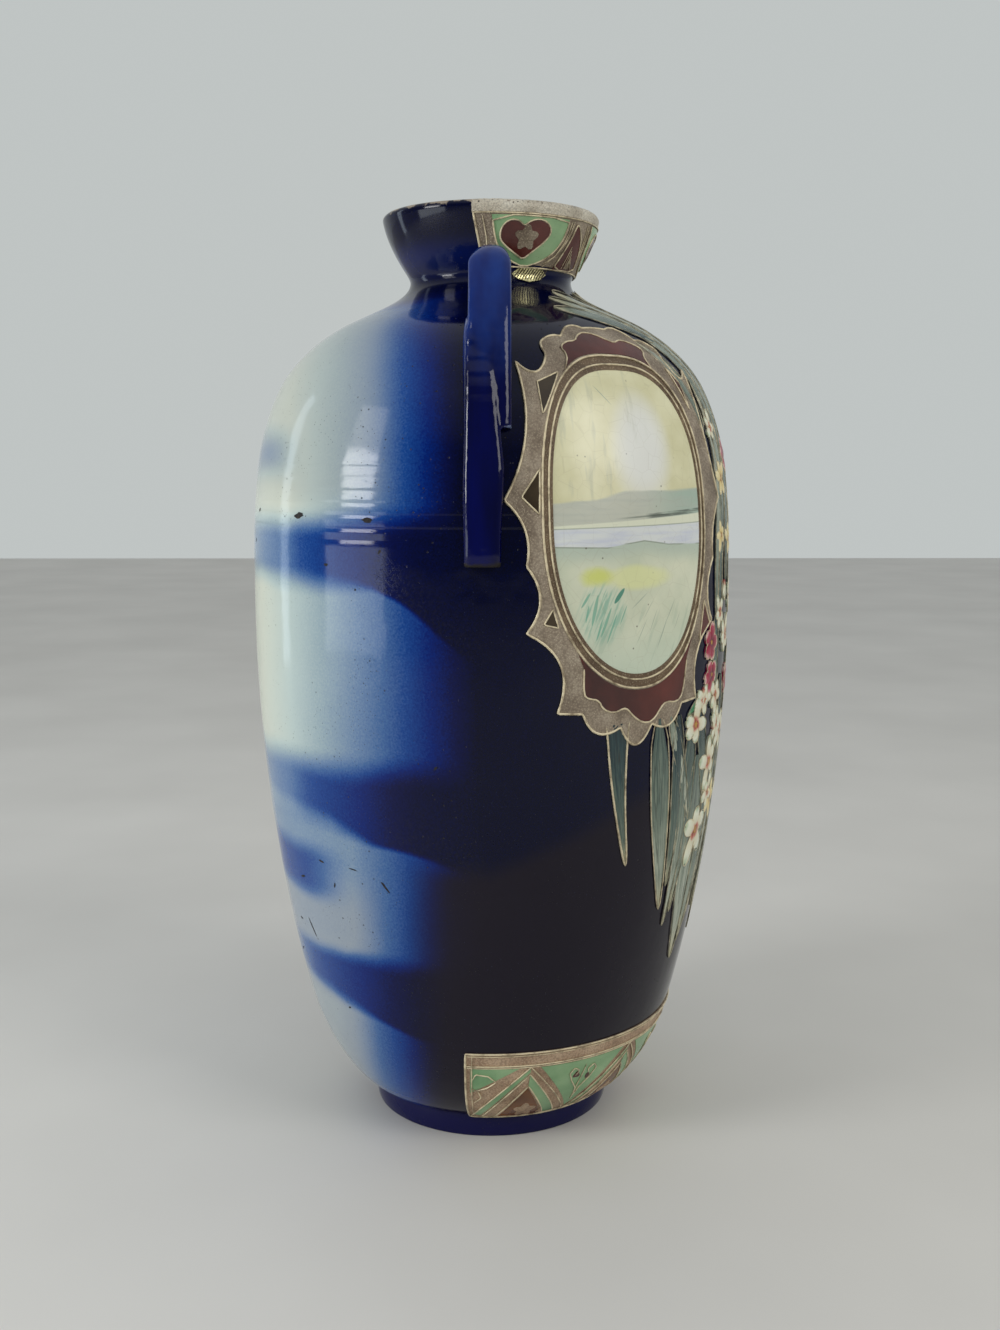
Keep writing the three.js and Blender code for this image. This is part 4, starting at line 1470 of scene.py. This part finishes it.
def make_spray(side, leaf_entries, flowers, buds, finishes):
    """Leaves, flowers and buds on one half of the front, with the trailed lines round them."""
    leaves = []
    petals = []
    hearts = []
    trails = Trails(47)
    veins = Trails(49)
    chance = random.Random(5)
    low = 0.35 if side == "left" else 0.41
    for index, (middle, half_width, tone) in enumerate(leaf_entries):
        tapered = index in TAPERED_LEAVES
        leaf = blade("leaf_%d" % index, middle, half_width, tone, tapered)
        leaves.append(laid(leaf, low + 0.1 * (index % 3)))
        drawn = trails if index < CREAM_LEAVES else veins
        for edge in leaf_edges(middle, half_width, tapered):
            drawn.line(edge, 0.68 if tapered else 0.40, lift=low + 0.2 + 0.1 * (index % 3))
    for turn, height, size, kind, lean in flowers:
        for step in range(5):
            long = 1.0 if step == 0 else chance.uniform(0.62, 0.90)
            broad = 0.36 if kind == "rose" else 0.27
            way = lean + step * 72 + chance.uniform(-12, 12)
            shape = (turn, height, size * long, size * broad, way, PETAL_KINDS[kind])
            petals.append(laid(petal("petal", *shape, 0.1 * (step % 2)), 0.75))
            trails.line(petal_edge(*shape), 0.24, lift=0.95)
        hearts.append(rosette(turn, height, size * 0.13, 5, BELLY_RADIUS / wall_at(height)[0]))
    for turn, height, size, lean in buds:
        for way in (-16, 14):
            shape = (turn, height, size * 1.5, size * 0.30, lean + way, PETAL_KINDS["white"])
            petals.append(laid(petal("petal", *shape, 0.0), 0.7))
            trails.line(petal_edge(*shape), 0.24, lift=0.9)
    pistils = laid(slab("pistils_" + side, [turned_points(heart) for heart in hearts], 5.0, 0.6), 1.35)
    pieces = [joined("leaves_" + side, leaves), joined("blossoms_" + side, petals), pistils]
    pieces += [veins.made("leaf_lines_" + side), trails.made("spray_lines_" + side)]
    for piece, finish in zip(pieces, finishes):
        finished(smooth(piece, 60), finish)


# Chips and firing scars: turn, height, half length, half width in millimetres, and lean in degrees
CHIPS = [
    (-47, 416, 5.8, 2.2, 80), (-27, 414, 4.6, 1.9, 95), (-38, 387, 2.0, 1.1, 90), (-30, 373, 1.0, 0.8, 0),
    (-69, 418, 2.4, 1.0, 60), (-46, 197, 3.4, 0.9, 100), (-56, 181, 3.6, 1.1, 75), (-42, 183, 2.4, 0.8, 20),
    (-56, 145, 7.6, 0.9, 150), (-63, 147, 2.6, 0.9, 100), (-26, 189, 6.4, 1.0, 140), (-35, 197, 4.6, 0.5, 95),
    (-45, 95, 1.8, 0.8, 60), (-73, 398, 1.5, 0.8, 10), (-24, 396, 2.0, 0.8, 30), (-12, 268, 2.4, 0.9, 40),
    (212, 402, 4.0, 1.4, 80), (236, 300, 3.0, 1.0, 30), (248, 150, 5.0, 0.9, 130), (262, 470, 3.2, 1.2, 70),
    (200, 205, 3.4, 1.0, 110), (275, 232, 2.4, 1.1, 20), (290, 120, 3.6, 0.9, 60), (222, 498, 2.6, 1.0, 100),
]


def make_chips():
    """Chips through the glaze to dark clay, each with a ragged edge."""
    outlines = []
    chance = random.Random(3)
    for turn, height, half_length, half_width, lean in CHIPS:
        outline = []
        for index in range(12):
            around = -2 * math.pi * index / 12
            along = half_length * chance.uniform(0.45, 1.0) * math.cos(around)
            over = half_width * chance.uniform(0.6, 1.0) * math.sin(around)
            outline.append(leaning(turn, height, lean, along, over))
        outlines.append(outline)
    chips = laid(slab("chips", outlines, 50.0, 0.8), 0.10)
    finish = Finish("bared_clay")
    place = finish.place()
    clay = finish.noise(place, 500.0, 4.0)
    finish.colour = finish.ramp(clay, [(0.35, 18, 18, 22), (0.6, *DARK_CLAY), (0.8, *BODY_CLAY)])
    finished(chips, finish.shows(0.85, bump=clay, depth=0.0003))


# Floor, light and camera

def aim(thing, target):
    away = Vector(target) - thing.location
    thing.rotation_euler = away.to_track_quat("-Z", "Y").to_euler()


def area_light(name, place, target, width, height, watts, colour=(1, 1, 1)):
    bpy.ops.object.light_add(type="AREA", location=place)
    light = newest(name)
    light.data.shape = "RECTANGLE"
    light.data.size = width
    light.data.size_y = height
    light.data.energy = watts
    light.data.color = colour
    aim(light, target)


def set_room():
    clear_selection()
    bpy.ops.mesh.primitive_plane_add(size=12, location=(0, 0, 0))
    floor = newest("floor")
    floor.data.materials.append(floor_finish())
    light_the_air()
    area_light("window", (-0.95, 1.85, 0.85), (0, 0, 0.44), 0.62, 0.50, 15)
    area_light("window_head", (-0.95, 1.85, 1.45), (0, 0, 0.50), 0.60, 0.60, 4)
    area_light("sill", (-0.90, 1.85, 0.27), (0, 0, 0.30), 1.2, 0.48, 6.5, (0.90, 0.97, 1.0))
    area_light("side_strip", (0.66, 1.85, 0.70), (0, 0, 0.40), 0.24, 1.4, 2.5, (0.75, 0.88, 1.0))
    area_light("room_side", (-1.5, -1.9, 1.5), (0, 0, 0.36), 1.1, 1.3, 24, (1.0, 0.98, 0.94))
    bpy.context.scene.view_settings.view_transform = "Standard"


def light_the_air():
    """Pale air behind the pot, dimmer on the side that the dark glaze mirrors."""
    world = bpy.data.worlds.new("soft_room")
    bpy.context.scene.world = world
    world.use_nodes = True
    tree = world.node_tree
    sky = tree.nodes["Background"]
    way = tree.nodes.new("ShaderNodeTexCoord")
    split = tree.nodes.new("ShaderNodeSeparateXYZ")
    spread = tree.nodes.new("ShaderNodeMapRange")
    spread.inputs["From Min"].default_value = -1
    ramp = tree.nodes.new("ShaderNodeValToRGB")
    Finish.set_stops(ramp.color_ramp, [
        (0.10, screen(108, 110, 111)), (0.55, screen(126, 128, 130)), (0.90, screen(196, 201, 200)),
    ])
    overhead = tree.nodes.new("ShaderNodeMapRange")
    overhead.inputs["From Min"].default_value = 0.38
    overhead.inputs["From Max"].default_value = 0.75
    blend = tree.nodes.new("ShaderNodeMix")
    blend.data_type = "RGBA"
    blend.inputs[7].default_value = screen(208, 211, 212)
    tree.links.new(way.outputs["Generated"], split.inputs[0])
    tree.links.new(split.outputs[0], spread.inputs["Value"])
    tree.links.new(split.outputs[2], overhead.inputs["Value"])
    tree.links.new(spread.outputs[0], ramp.inputs["Fac"])
    tree.links.new(overhead.outputs[0], blend.inputs[0])
    tree.links.new(ramp.outputs[0], blend.inputs[6])
    tree.links.new(blend.outputs[2], sky.inputs["Color"])
    sky.inputs["Strength"].default_value = 0.95


def set_camera():
    bpy.ops.object.camera_add(location=(-0.9711, 0.0, 0.4447))
    camera = newest("camera")
    camera.data.sensor_width = 36
    camera.data.lens = 37.98
    camera.rotation_euler = (math.radians(82.0), 0, math.radians(-90.37))
    camera.data.clip_start = 0.01
    bpy.context.scene.camera = camera


set_room()
set_camera()
throw_body()
lute_handle()
slip = slip_finish("stippled_slip", 0.25)
oxblood = enamel_finish("oxblood_enamel", (58, 20, 18), (98, 42, 34))
celadon = enamel_finish("celadon_enamel", (106, 150, 104), (160, 192, 146))
amber = enamel_finish("amber_enamel", (78, 42, 14), (134, 82, 34))
gilding = slip_finish("rubbed_gilding", 0.6)
umber = enamel_finish("umber_enamel", (46, 36, 24), (74, 62, 44))
cream = line_finish("cream_trails", (136, 120, 96), (220, 206, 172), 0.2)
pale_slip = slip_finish("pale_slip", 0.15, ((178, 169, 152), (206, 199, 182), (226, 221, 206)))
band_slip = slip_finish("band_slip", 0.25, ((148, 120, 96), (182, 153, 126), (206, 180, 152)))
bright_gilding = slip_finish("bright_gilding", 0.7, ((206, 196, 140), (226, 220, 168), (238, 234, 196)), 0.16)
ring_slip = slip_finish("brown_slip", 0.15, ((84, 66, 48), (108, 88, 66), (136, 116, 90)))
make_panel(slip, ring_slip, oxblood, umber, cream)
make_rim_band(slip, celadon, oxblood, umber, gilding, bright_gilding, cream)
make_lip(pale_slip)
make_foot_band(band_slip, celadon, amber, oxblood, cream)
pistil = enamel_finish("pistil_enamel", (150, 96, 30), (206, 160, 74))
grey_lines = line_finish("grey_trails", (74, 72, 62), (150, 146, 124), 0.2)
spray_finishes = (leaf_finish(), petal_finish(), pistil, grey_lines, cream)
make_spray("left", LEAVES, FLOWERS, FLOWER_BUDS, spray_finishes)
make_spray("right", *other_half(random.Random(8)), spray_finishes)
make_chips()
